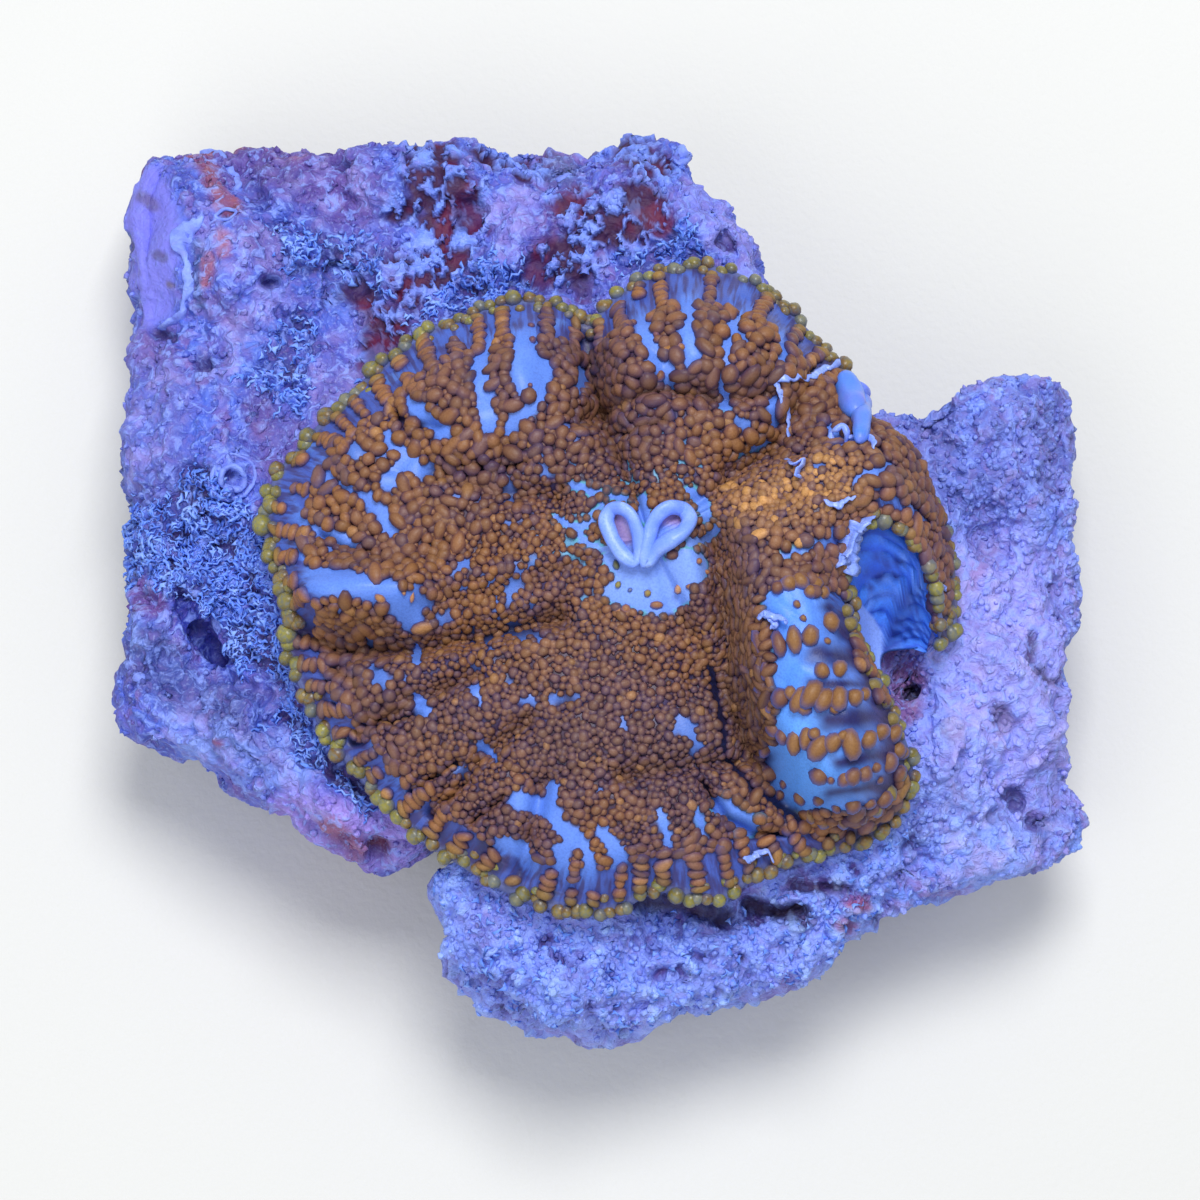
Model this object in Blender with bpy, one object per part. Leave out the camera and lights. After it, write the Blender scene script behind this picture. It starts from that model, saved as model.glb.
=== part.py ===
"""Mushroom coral: a ruffled, beaded polyp spread over two loose pieces of reef rubble.

Blender works in metres; every size below is in millimetres and is scaled once, when a mesh is made.
The stones rest on the plane z = 0 with the origin under the object's middle. +Z is up, +Y is away from
the viewer, and the polyp's mouth faces up.
"""

import bmesh
import bpy
import numpy as np
from mathutils import Vector, noise

MM = 0.001

# ---------------------------------------------------------------- driving dimensions, mm
ORIGIN = (-0.2, 3.8)  # plan position of the object's middle, in the numbers below
BED_HEIGHT = 22.0  # height of the stones under the middle of the polyp
BED_MIDDLE = (2.0, 4.0)  # plan position of the highest part of the stones
BED_FALL = 0.0030  # how fast the stones fall away from there, per mm squared
SEAT_GAP = 0.35  # clearance between the polyp's foot and the stones

MOUTH = (3.6, 3.4)
MOUTH_LIFT = 5.2  # the disc's height above the stones at the mouth
SHOULDER_AT = 0.6  # share of the way from mouth to rim where the shoulder ring lies
RIM_THICKNESS = 1.1
FOOT_TUCK = 5.0  # how far the foot stays back from the rim
BEAD_RISE = 1.0  # height of the beads that stud the disc
RIM_SCALLOP = 0.28  # how far the rim's beads stand out
RIM_COLUMNS = 112  # columns at the rim, alternately a ridge of beads and a groove
DISC_ROWS = 17  # rows of beads from mouth to rim
MIDDLE_ROWS = 8  # rows nearer the mouth than this have half the columns
INNER_ROWS = 3  # and rows nearer than this a quarter of them

ROCK_COLUMNS = 72
ROCK_TOP_RINGS = 12
EDGE_DROP = 2.6  # how far the top slopes down to a stone's free edges
EDGE_WIDTH = 6.0

# The disc's lines, anticlockwise from the cleft at the back, in plan with the height above the stones:
# rim x, rim y, rim lift, shoulder x, shoulder y, shoulder lift.
STATIONS = (
    # back left lobe
    (-1.0, 21.4, 2.0, -0.4, 16.0, 3.4),
    (-3.2, 23.0, 2.4, -2.8, 16.6, 5.6),
    (-6.4, 23.2, 2.4, -5.2, 16.2, 6.4),
    (-9.8, 22.4, 2.3, -7.8, 15.6, 6.4),
    (-13.2, 21.0, 2.2, -10.2, 14.6, 6.0),
    (-16.2, 18.8, 2.0, -12.6, 13.2, 5.6),
    (-19.2, 16.0, 2.0, -14.8, 11.6, 5.4),
    (-22.4, 12.6, 1.9, -16.8, 9.8, 5.0),
    (-24.8, 9.6, 1.8, -18.4, 7.4, 4.8),
    (-25.5, 6.2, 1.8, -19.0, 4.8, 4.6),
    # finger fold at the left and the crease in front of it
    (-24.8, 2.8, 2.1, -19.0, 2.2, 4.6),
    (-23.4, -0.6, 2.8, -18.2, -0.6, 5.4),
    (-23.6, -3.4, 1.6, -18.0, -3.6, 3.4),
    # front left quarter
    (-22.4, -6.8, 1.8, -16.8, -6.6, 4.2),
    (-20.2, -10.6, 1.8, -15.0, -9.2, 4.6),
    (-17.2, -14.2, 1.9, -12.6, -11.6, 4.8),
    (-13.8, -17.6, 2.0, -10.0, -14.0, 5.0),
    (-10.2, -20.0, 2.0, -7.2, -15.8, 5.0),
    # front
    (-6.8, -22.0, 2.1, -4.2, -17.0, 5.2),
    (-3.0, -23.4, 2.2, -1.4, -17.6, 5.4),
    (0.8, -23.6, 2.3, 1.4, -17.4, 5.4),
    (4.4, -22.0, 2.6, 4.2, -16.8, 5.2),
    (8.6, -22.8, 2.6, 7.2, -16.2, 5.0),
    (12.0, -20.6, 2.2, 10.0, -15.4, 4.2),
    (15.6, -19.6, 1.8, 12.8, -15.4, 4.6),
    # puffed lobe at the front right, whose rim faces right
    (19.2, -18.4, 1.6, 15.2, -15.0, 8.0),
    (22.2, -16.4, 1.8, 17.2, -13.6, 9.8),
    (23.2, -13.2, 3.0, 17.6, -11.0, 10.6),
    (22.2, -10.0, 4.2, 17.0, -8.0, 10.8),
    (20.6, -6.6, 5.2, 15.8, -4.8, 10.6),
    (19.0, -3.2, 5.8, 14.6, -1.6, 10.2),
    (18.3, 0.4, 6.6, 14.4, 1.4, 9.8),
    (18.7, 3.4, 7.8, 15.6, 4.4, 9.8),
    # arch: the rim turns back on itself over the hollow at the right
    (20.6, 4.7, 8.4, 18.2, 6.4, 9.8),
    (22.9, 3.6, 7.6, 19.6, 7.6, 9.8),
    (24.6, 1.4, 6.2, 20.2, 8.5, 9.6),
    (25.5, -1.0, 4.4, 20.6, 9.2, 9.3),
    (25.7, -3.4, 2.2, 20.9, 9.8, 9.0),
    (26.9, -1.8, 1.4, 21.1, 10.3, 8.6),
    (27.0, 1.8, 1.3, 21.2, 10.8, 8.2),
    (26.3, 5.6, 1.4, 21.0, 11.3, 7.6),
    (24.2, 9.4, 1.5, 20.2, 11.9, 7.0),
    (21.6, 12.2, 1.8, 18.4, 12.4, 6.4),
    # back right lobe
    (19.8, 15.4, 2.4, 16.4, 13.2, 5.4),
    (18.2, 18.4, 2.6, 14.6, 14.8, 6.6),
    (15.8, 21.0, 2.5, 12.8, 16.2, 7.2),
    (13.4, 23.8, 2.5, 10.6, 17.4, 7.6),
    (10.2, 25.6, 2.5, 8.4, 17.9, 7.8),
    (6.6, 26.2, 2.5, 6.0, 18.0, 7.8),
    (3.4, 25.2, 2.5, 3.8, 17.4, 7.4),
    (0.6, 23.0, 2.3, 1.6, 16.6, 6.0),
)

# In the hollow at the right the wall of the column runs outwards from the rim, so the foot is seen there.
# station number: foot x, foot y
HOLLOW_FEET = {
    29: (21.6, -7.4),
    30: (21.4, -5.4),
    31: (21.4, -4.4),
    32: (21.8, -3.9),
    33: (22.6, -3.7),
    34: (23.4, -3.6),
    35: (24.2, -3.5),
    36: (24.9, -3.5),
}

# Grooves pressed into the disc: points along the groove, depth, half width.
CREASES = (
    (((-23.0, -2.2), (-19.0, -4.0), (-13.0, -4.2), (-7.6, -3.0), (-3.0, -2.2)), 2.4, 1.0),
    (((8.6, 3.2), (9.4, -1.6), (9.8, -7.0), (11.2, -11.2), (14.0, -15.4), (17.6, -17.9)), 3.4, 1.3),
    (((-0.9, 21.4), (-0.6, 17.6), (0.2, 14.4), (-1.2, 12.8)), 2.2, 1.0),
    (((0.8, 13.8), (4.6, 14.6), (7.6, 14.3), (10.4, 14.2), (12.6, 14.8)), 1.6, 0.8),
    (((16.0, 17.0), (14.6, 13.6), (12.8, 10.6), (9.6, 8.8)), 1.5, 1.0),
    (((-18.6, -11.0), (-14.0, -8.2), (-9.4, -6.6)), 1.4, 0.8),
    (((-12.4, -16.4), (-8.8, -12.6), (-5.4, -10.0)), 1.3, 0.8),
    (((-6.0, -21.0), (-4.8, -17.4), (-4.2, -14.4)), 1.2, 0.7),
    (((1.6, -14.2), (5.6, -13.4), (10.0, -12.8)), 1.3, 0.8),
    (((-12.4, 9.0), (-8.0, 7.4), (-3.2, 7.0)), 1.0, 0.9),
)

# Swellings: from point, to point, height, radius.
SWELLINGS = (
    ((3.6, 3.4), (3.6, 3.4), 1.5, 4.4),  # raised lips around the mouth
    ((2.0, 5.4), (1.8, 4.6), 0.9, 1.0),  # left loop of the mouth's filaments
    ((5.2, 5.6), (5.0, 4.8), 0.9, 1.0),  # right loop
    ((-21.6, -0.2), (-15.2, -0.8), 2.4, 2.4),  # finger fold
    ((1.6, 18.6), (2.4, 15.6), 1.5, 2.2),
    ((6.4, 22.0), (7.0, 17.2), 0.9, 1.5),
    ((13.0, 20.4), (10.8, 16.6), 0.9, 1.5),
    ((-12.4, 16.6), (-10.6, 12.6), 1.1, 2.4),
    ((-6.6, 19.6), (-5.8, 14.4), 0.8, 1.6),
    ((-18.6, 10.4), (-17.0, 8.4), 0.9, 2.0),
    ((18.4, 16.0), (19.6, 13.8), 0.8, 1.2),
)

# Patches of smooth skin with no beads: middle x, middle y, radius along x, radius along y.
BARE_PATCHES = (
    (4.4, 1.6, 5.0, 4.0),
    (3.6, 5.0, 3.6, 2.4),
    (-5.4, 17.0, 3.0, 3.8),
    (-16.8, 1.4, 4.2, 1.8),
    (13.9, -4.8, 3.0, 4.4),
    (15.2, -12.6, 4.0, 2.4),
    (-3.2, -15.8, 2.6, 1.8),
    (10.0, 18.0, 1.5, 3.6),
)

# Stone outlines in plan, anticlockwise.
LEFT_STONE = (
    (14.6, 26.6), (13.2, 29.8), (11.8, 33.2), (8.6, 35.2), (7.6, 38.4), (4.2, 40.0), (-3.0, 39.6),
    (-12.4, 40.2), (-22.8, 39.6), (-31.0, 40.2), (-37.4, 39.6), (-38.8, 33.4), (-37.8, 20.0),
    (-38.4, 9.2), (-37.8, -0.6), (-38.2, -8.2), (-35.2, -11.0), (-31.6, -12.0), (-29.0, -14.0),
    (-25.1, -15.8), (-23.6, -17.6), (-20.6, -19.2), (-17.3, -20.4), (-14.0, -19.8), (-10.0, -16.4),
    (-4.8, -12.2), (0.6, -7.8), (5.6, -2.8), (9.8, 2.6), (13.0, 9.0), (15.2, 15.6), (15.6, 21.6),
)
LEFT_STONE_MIDDLE = (-11.0, 11.0)
RIGHT_STONE = (
    (21.0, 16.6), (18.8, 10.4), (15.8, 3.8), (11.8, -2.8), (7.0, -8.2), (1.8, -12.8), (-3.6, -16.6),
    (-8.6, -19.2), (-12.6, -20.2), (-13.0, -22.6), (-12.4, -24.8), (-12.9, -27.0), (-10.8, -29.0),
    (-7.6, -31.2), (-3.7, -32.6), (2.5, -32.6), (5.6, -30.6), (10.9, -29.4), (15.2, -28.2),
    (17.9, -26.1), (20.8, -23.6), (26.0, -22.4), (31.1, -20.0), (35.9, -18.8), (37.9, -15.0),
    (37.4, -7.0), (38.0, 1.0), (37.5, 9.4), (38.4, 18.4), (34.6, 20.8), (30.5, 19.6), (26.2, 17.2),
)
RIGHT_STONE_MIDDLE = (17.0, -12.0)

# Hollows worn into the stones: x, y, radius, depth.
PITS = (
    (-30.0, -3.0, 2.6, 4.5),
    (-27.7, 9.6, 1.3, 1.8),
    (-18.0, 19.4, 3.0, 1.4),
    (-12.0, 27.0, 3.0, 1.5),
    (-2.6, 30.0, 3.4, 1.4),
    (-31.6, 22.0, 2.2, 1.6),
    (-24.0, -9.6, 2.2, 1.8),
    (22.8, -5.4, 2.0, 1.8),
    (12.0, -23.6, 3.0, 3.2),
    (4.6, -23.6, 2.4, 2.2),
    (31.8, -14.6, 2.2, 2.0),
    (24.6, -20.4, 1.8, 1.8),
    (31.0, 6.6, 2.6, 1.4),
)

# Lumps grown on the stones: x, y, radius, height.
LUMPS = (
    (-27.7, 9.6, 3.0, 1.6),  # coiled worm tube, whose mouth is the hollow in it
    (-31.4, 26.6, 2.2, 1.3),
    (-33.6, 16.0, 3.6, 1.0),
    (-22.4, 30.0, 3.4, 1.2),
    (-6.6, 33.4, 3.0, 1.4),
    (7.0, 33.0, 2.2, 1.6),
    (-28.4, -11.0, 3.6, 1.8),
    (-17.6, -17.6, 3.4, 1.6),  # reddish toe
    (31.0, 13.0, 4.0, 1.4),
    (32.6, -4.6, 4.0, 1.2),
    (27.4, -13.4, 3.0, 1.2),
    (-3.6, -28.4, 4.0, 1.4),
    (-9.6, -24.6, 2.4, 1.2),
    (18.4, -23.0, 2.4, 1.2),
)

# Side profile of a stone: inset from the outline, share of the height, how much wear cuts into it.
STONE_SIDE = (
    (3.0, 1.0, 0.4), (1.1, 0.95, 1.0), (0.3, 0.85, 1.2), (0.0, 0.7, 1.0), (0.3, 0.53, 2.2),
    (1.0, 0.37, 3.4), (1.6, 0.21, 4.0), (3.0, 0.08, 4.0), (4.6, 0.0, 3.4),
)

SKIN = {"color": (0.10, 0.26, 0.85, 1.0), "roughness": 0.35}
ROCK_LILAC = {"color": (0.22, 0.25, 0.75, 1.0), "roughness": 0.85}
ROCK_PINK = {"color": (0.26, 0.24, 0.68, 1.0), "roughness": 0.85}


# ---------------------------------------------------------------- shared geometry
def smoothstep(value, low, high):
    """0 below low, 1 above high, and an S-shaped ramp between them."""
    share = np.clip((value - low) / (high - low), 0.0, 1.0)
    return share * share * (3.0 - 2.0 * share)


def closed_spline(knots, at):
    """Points of the closed Catmull-Rom curve through knots, at parameters counted in knots."""
    knots = np.asarray(knots, float)
    count = len(knots)
    whole = np.floor(at).astype(int)
    part = (at - whole)[:, None]
    before, here = knots[(whole - 1) % count], knots[whole % count]
    after, beyond = knots[(whole + 1) % count], knots[(whole + 2) % count]
    return 0.5 * (
        2.0 * here
        + (after - before) * part
        + (2.0 * before - 5.0 * here + 4.0 * after - beyond) * part**2
        + (3.0 * here - before - 3.0 * after + beyond) * part**3
    )


def evenly_along(knots, count):
    """Parameters of count points spaced evenly along the closed curve through knots."""
    fine = np.linspace(0.0, len(knots), 40 * len(knots) + 1)
    steps = np.linalg.norm(np.diff(closed_spline(knots, fine), axis=0), axis=1)
    length = np.concatenate([[0.0], np.cumsum(steps)])
    return np.interp(np.arange(count) / count * length[-1], length, fine)


def distance_to_line(plan, points):
    """Distance in plan from each point to a chain of straight segments."""
    nearest = np.full(len(plan), np.inf)
    for start, end in zip(points[:-1], points[1:]):
        start, along = np.array(start), np.subtract(end, start)
        share = np.clip((plan - start) @ along / max(along @ along, 1e-9), 0.0, 1.0)
        nearest = np.minimum(nearest, np.linalg.norm(plan - start - share[:, None] * along, axis=1))
    return nearest


def inside(plan, outline):
    """True for each plan point that lies inside a closed outline."""
    x, y = plan[:, 0], plan[:, 1]
    found = np.zeros(len(plan), bool)
    for (x0, y0), (x1, y1) in zip(outline, np.roll(outline, -1, axis=0)):
        crosses = (y0 > y) != (y1 > y)
        if crosses.any():
            found ^= crosses & (x < (x1 - x0) * (y - y0) / (y1 - y0 + 1e-12) + x0)
    return found


def rough(points, wavelength, seed):
    """Smooth 3-D noise between about -1 and 1 at each point."""
    shift = Vector((seed * 17.3, seed * 5.1, seed * 9.7))
    return np.array([1.7 * noise.noise(Vector(point) / wavelength + shift) for point in points])


def bed(plan):
    """Height of the stones' common top, which the foot of the polyp fits."""
    return BED_HEIGHT - BED_FALL * ((plan - np.array(BED_MIDDLE)) ** 2).sum(axis=1)


# ---------------------------------------------------------------- meshes from rings
def bridge(shape, upper, lower):
    """Faces between two rings, of which one may have twice the points of the other."""
    if len(upper) == len(lower):
        for i, j in zip(range(len(upper)), np.roll(range(len(upper)), -1)):
            shape.faces.new((upper[i], lower[i], lower[j], upper[j]))
    elif len(upper) < len(lower):
        for i, j in zip(range(len(upper)), np.roll(range(len(upper)), -1)):
            shape.faces.new((upper[i], lower[2 * i], lower[2 * i + 1]))
            shape.faces.new((upper[i], lower[2 * i + 1], lower[2 * j], upper[j]))
    else:
        for i, j in zip(range(len(lower)), np.roll(range(len(lower)), -1)):
            shape.faces.new((upper[2 * i], lower[i], upper[2 * i + 1]))
            shape.faces.new((upper[2 * i + 1], lower[i], lower[j], upper[2 * j]))


def ring_solid(name, rings, first_pole, last_pole, look):
    """A closed object from rings of points, which run anticlockwise from the top pole to the bottom one."""
    shape = bmesh.new()
    origin = Vector((*ORIGIN, 0.0))
    top = shape.verts.new((Vector(first_pole) - origin) * MM)
    bottom = shape.verts.new((Vector(last_pole) - origin) * MM)
    rows = [[shape.verts.new((Vector(point) - origin) * MM) for point in ring] for ring in rings]
    for here, after in zip(rows[0], rows[0][1:] + rows[0][:1]):
        shape.faces.new((top, here, after))
    for here, after in zip(rows[-1], rows[-1][1:] + rows[-1][:1]):
        shape.faces.new((bottom, after, here))
    for upper, lower in zip(rows[:-1], rows[1:]):
        bridge(shape, upper, lower)
    bmesh.ops.triangulate(shape, faces=shape.faces)
    mesh = bpy.data.meshes.new(name)
    shape.to_mesh(mesh)
    shape.free()
    mesh.shade_smooth()
    solid = bpy.data.objects.new(name, mesh)
    bpy.context.scene.collection.objects.link(solid)
    mesh.materials.append(material(name + "_finish", look))
    return solid


def material(name, look):
    """A Principled material of the given colour and roughness."""
    made = bpy.data.materials.new(name)
    made.use_nodes = True
    shader = made.node_tree.nodes["Principled BSDF"]
    shader.inputs["Base Color"].default_value = look["color"]
    shader.inputs["Roughness"].default_value = look["roughness"]
    shader.inputs["Metallic"].default_value = 0.0
    return made


# ---------------------------------------------------------------- polyp
def folded(plan, lift):
    """The disc's lift with its creases pressed in and its swellings raised."""
    lift = lift.copy()
    for line, depth, half_width in CREASES:
        lift -= depth * np.exp(-((distance_to_line(plan, line) / half_width) ** 2))
    for start, end, height, radius in SWELLINGS:
        lift += height * np.exp(-((distance_to_line(plan, (start, end)) / radius) ** 2))
    return lift


def bead_share(plan, column, row):
    """How far each point of the disc is raised as a bead: packed near the mouth, in rows near the rim."""
    if row < 2:
        return np.zeros(len(plan))
    if row > MIDDLE_ROWS:
        raised = np.where(column % 2 == 0, 0.7 + 0.4 * (row % 2), -0.35)
    else:
        raised = np.where((column + row) % 2 == 0, 1.0, -0.25)
    flat = np.column_stack([plan, np.zeros(len(plan))])
    raised *= 0.85 + 0.5 * rough(flat, 4.0, 31)
    for x, y, radius_x, radius_y in BARE_PATCHES:
        away = np.hypot((plan[:, 0] - x) / radius_x, (plan[:, 1] - y) / radius_y)
        raised *= smoothstep(away, 0.8, 1.05)
    return raised


def disc_ring(mouth, shoulder, rim, share):
    """Points a given share of the way from mouth to rim, on curves that pass through the shoulder."""
    if share <= SHOULDER_AT:
        start, end, span = mouth, shoulder, SHOULDER_AT
        part = share / span
        slope_in, slope_out = (shoulder - mouth) / span, rim - mouth
    else:
        start, end, span = shoulder, rim, 1.0 - SHOULDER_AT
        part = (share - SHOULDER_AT) / span
        slope_in, slope_out = rim - mouth, (rim - shoulder) / span * 1.1
    return (
        (2 * part**3 - 3 * part**2 + 1) * start
        + (part**3 - 2 * part**2 + part) * span * slope_in
        + (3 * part**2 - 2 * part**3) * end
        + (part**3 - part**2) * span * slope_out
    )


def make_polyp():
    """The soft body: beaded disc above, rolled rim, and a foot that grips both stones."""
    stations = np.array(STATIONS)
    at = evenly_along(stations[:, :2], RIM_COLUMNS)
    rim, shoulder = closed_spline(stations[:, :3], at), closed_spline(stations[:, 3:], at)
    column = np.arange(RIM_COLUMNS)
    outwards = unit(rim[:, :2] - shoulder[:, :2])
    rim[:, :2] += np.where(column % 2 == 0, RIM_SCALLOP, -RIM_SCALLOP)[:, None] * outwards
    mouth = np.tile((*MOUTH, MOUTH_LIFT), (RIM_COLUMNS, 1))
    rings = []
    for row in range(1, DISC_ROWS + 1):
        skip = 4 if row <= INNER_ROWS else 2 if row <= MIDDLE_ROWS else 1
        ring = disc_ring(mouth, shoulder, rim, row / DISC_ROWS)[::skip]
        plan = ring[:, :2]
        relief = 1.0 - smoothstep(float(row), DISC_ROWS - 3.0, DISC_ROWS)
        lift = ring[:, 2] + relief * (folded(plan, ring[:, 2]) - ring[:, 2])
        lift = np.maximum(lift, 1.6) + BEAD_RISE * bead_share(plan, column[: len(plan)], row)
        rings.append(np.column_stack([plan, bed(plan) + lift]))
    rings += under_rings(stations, at, rim)
    height = float(bed(np.array([MOUTH]))[0])
    top = (*MOUTH, height + MOUTH_LIFT + 1.3)
    return ring_solid("polyp", rings, top, (*MOUTH, height + SEAT_GAP), SKIN)


def under_rings(stations, at, rim):
    """Rings of the underside: the rolled rim, the wall of the column and the foot on the stones."""
    feet = stations[:, :2] + FOOT_TUCK * unit(stations[:, 3:5] - stations[:, :2])
    for station, foot in HOLLOW_FEET.items():
        feet[station] = foot
    foot = closed_spline(feet, at)
    lip = rim[:, :2] + 0.12 * unit(foot - rim[:, :2])
    under = np.maximum(rim[:, 2] - RIM_THICKNESS, SEAT_GAP + 0.3)
    rings = [np.column_stack([lip, bed(lip) + under])]
    for share, skip in ((0.4, 1), (0.75, 2)):
        plan = (lip + share * (foot - lip))[::skip]
        lift = SEAT_GAP + (under[::skip] - SEAT_GAP) * (1.0 - smoothstep(share, 0.0, 1.0))
        rings.append(np.column_stack([plan, bed(plan) + lift]))
    for share, skip in ((0.0, 2), (0.5, 4)):
        plan = (foot + share * (np.array(MOUTH) - foot))[::skip]
        rings.append(np.column_stack([plan, bed(plan) + SEAT_GAP]))
    return rings


def unit(vectors):
    """Each row scaled to length 1."""
    return vectors / np.linalg.norm(vectors, axis=1)[:, None]


# ---------------------------------------------------------------- stones
def stone_relief(plan, outline, seed):
    """Lumps, sloping edges and worn pits of a stone's top, which stay clear of the polyp's seat."""
    stations = np.array(STATIONS)
    rim = closed_spline(stations[:, :2], evenly_along(stations[:, :2], 160))
    away = distance_to_line(plan, np.vstack([rim, rim[:1]]))
    free = np.where(inside(plan, rim), 0.0, smoothstep(away, 0.3, 4.0))
    points = np.column_stack([plan, np.zeros(len(plan))])
    relief = 1.5 * rough(points, 9.0, seed) + 1.1 * rough(points, 4.5, seed + 1) - 0.6
    for x, y, radius, height in LUMPS:
        relief += height * np.exp(-(((plan - np.array((x, y))) ** 2).sum(axis=1) / radius**2))
    to_edge = distance_to_line(plan, np.vstack([outline, outline[:1]]))
    relief -= EDGE_DROP * (1.0 - smoothstep(to_edge, 0.0, EDGE_WIDTH)) ** 1.5
    seat = -0.3 - 0.2 * (1.0 + rough(points, 3.0, seed + 2))
    relief = free * relief + (1.0 - free) * seat
    for x, y, radius, depth in PITS:
        relief -= depth * np.exp(-(((plan - np.array((x, y))) ** 2).sum(axis=1) / radius**2))
    return np.minimum(relief, 3.2 * free)


def make_stone(name, outline, middle, seed, look):
    """One piece of rubble: worn top under the polyp, broken sides, flat resting face."""
    edge = closed_spline(outline, evenly_along(np.array(outline), ROCK_COLUMNS))
    middle = np.array([middle])
    outwards = unit(edge - middle)
    shoulder = edge - STONE_SIDE[0][0] * outwards
    rings = []
    for ring in range(1, ROCK_TOP_RINGS + 1):
        plan = middle + (ring / ROCK_TOP_RINGS) ** 0.85 * (shoulder - middle)
        rings.append(np.column_stack([plan, bed(plan) + stone_relief(plan, edge, seed)]))
    top = rings[-1][:, 2]
    for inset, share, wear in STONE_SIDE[1:]:
        points = np.column_stack([edge - inset * outwards, share * top])
        worn = wear * (0.5 + 0.6 * rough(points, 9.0, seed + 3) + 0.4 * rough(points, 4.0, seed + 4))
        sag = 0.8 * rough(points, 6.0, seed + 5) if share else 0.0
        points[:, :2] -= np.maximum(worn, 0.0)[:, None] * outwards
        rings.append(points + np.array((0.0, 0.0, 1.0)) * np.reshape(sag, (-1, 1)))
    base = rings[-1][::2, :2]
    rings.append(np.column_stack([middle + 0.5 * (base - middle), np.zeros(len(base))]))
    height = float((bed(middle) + stone_relief(middle, edge, seed))[0])
    return ring_solid(name, rings, (*middle[0], height), (*middle[0], 0.0), look)


def main():
    """Clears the scene and makes the polyp and its two stones."""
    for old in list(bpy.data.objects):
        bpy.data.objects.remove(old)
    make_stone("left_rock", LEFT_STONE, LEFT_STONE_MIDDLE, 1, ROCK_LILAC)
    make_stone("right_rock", RIGHT_STONE, RIGHT_STONE_MIDDLE, 11, ROCK_PINK)
    make_polyp()


main()
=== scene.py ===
"""Mushroom coral on reef rubble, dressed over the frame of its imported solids.

The drawing is in millimetres, with the polyp's middle near (0, 0) in plan, and its heights are counted from
the plane that the stones rest on. A mesh becomes metres in the frame, with ORIGIN at the frame's origin,
at the moment it is made.
"""

import itertools
import logging
import math
from collections.abc import Callable
from dataclasses import dataclass, field
from enum import Enum

import bmesh
import bpy
import numpy as np
from mathutils import Matrix, Vector, noise


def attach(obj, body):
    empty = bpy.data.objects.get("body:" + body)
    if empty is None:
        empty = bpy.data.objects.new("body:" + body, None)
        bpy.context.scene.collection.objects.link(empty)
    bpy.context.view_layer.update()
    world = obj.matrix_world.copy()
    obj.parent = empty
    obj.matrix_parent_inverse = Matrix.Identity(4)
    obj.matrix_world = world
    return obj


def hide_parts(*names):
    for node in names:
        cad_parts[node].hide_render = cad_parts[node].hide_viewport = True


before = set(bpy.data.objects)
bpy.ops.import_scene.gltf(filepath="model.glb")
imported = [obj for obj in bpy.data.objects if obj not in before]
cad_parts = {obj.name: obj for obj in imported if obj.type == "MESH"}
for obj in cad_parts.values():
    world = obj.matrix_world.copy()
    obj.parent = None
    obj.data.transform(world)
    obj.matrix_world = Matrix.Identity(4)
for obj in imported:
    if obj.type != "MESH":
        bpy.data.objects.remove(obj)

LOG = logging.getLogger("mushroom_coral")

Array = np.ndarray
Material = bpy.types.Material
Mesh = bpy.types.Mesh
Piece = bpy.types.Object
Socket = bpy.types.NodeSocket
Tree = bpy.types.NodeTree

MM = 0.001
PER_METRE = 1.0 / MM
ORIGIN = (-0.2, 3.8)
BODY = "root"
DRAWN_TILT = math.radians(12.0)
DRAWN_FROM = 253.3

# ---------------------------------------------------------------- the drawing, mm
BED_HEIGHT = 22.0
BED_MIDDLE = (2.0, 4.0)
BED_FALL = 0.0030
SEAT_GAP = 0.35
MOUTH = (3.6, 3.4)
MOUTH_LIFT = 5.2
SHOULDER_AT = 0.6
ROWS_FROM = 0.75
ROWS_TO = 0.965
RIM_THICKNESS = 1.1
FOOT_TUCK = 5.0
EDGE_DROP = 2.6
EDGE_WIDTH = 6.0
OUTLINE_CORNERS = 72
GROWS_FROM = 0.3

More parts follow.
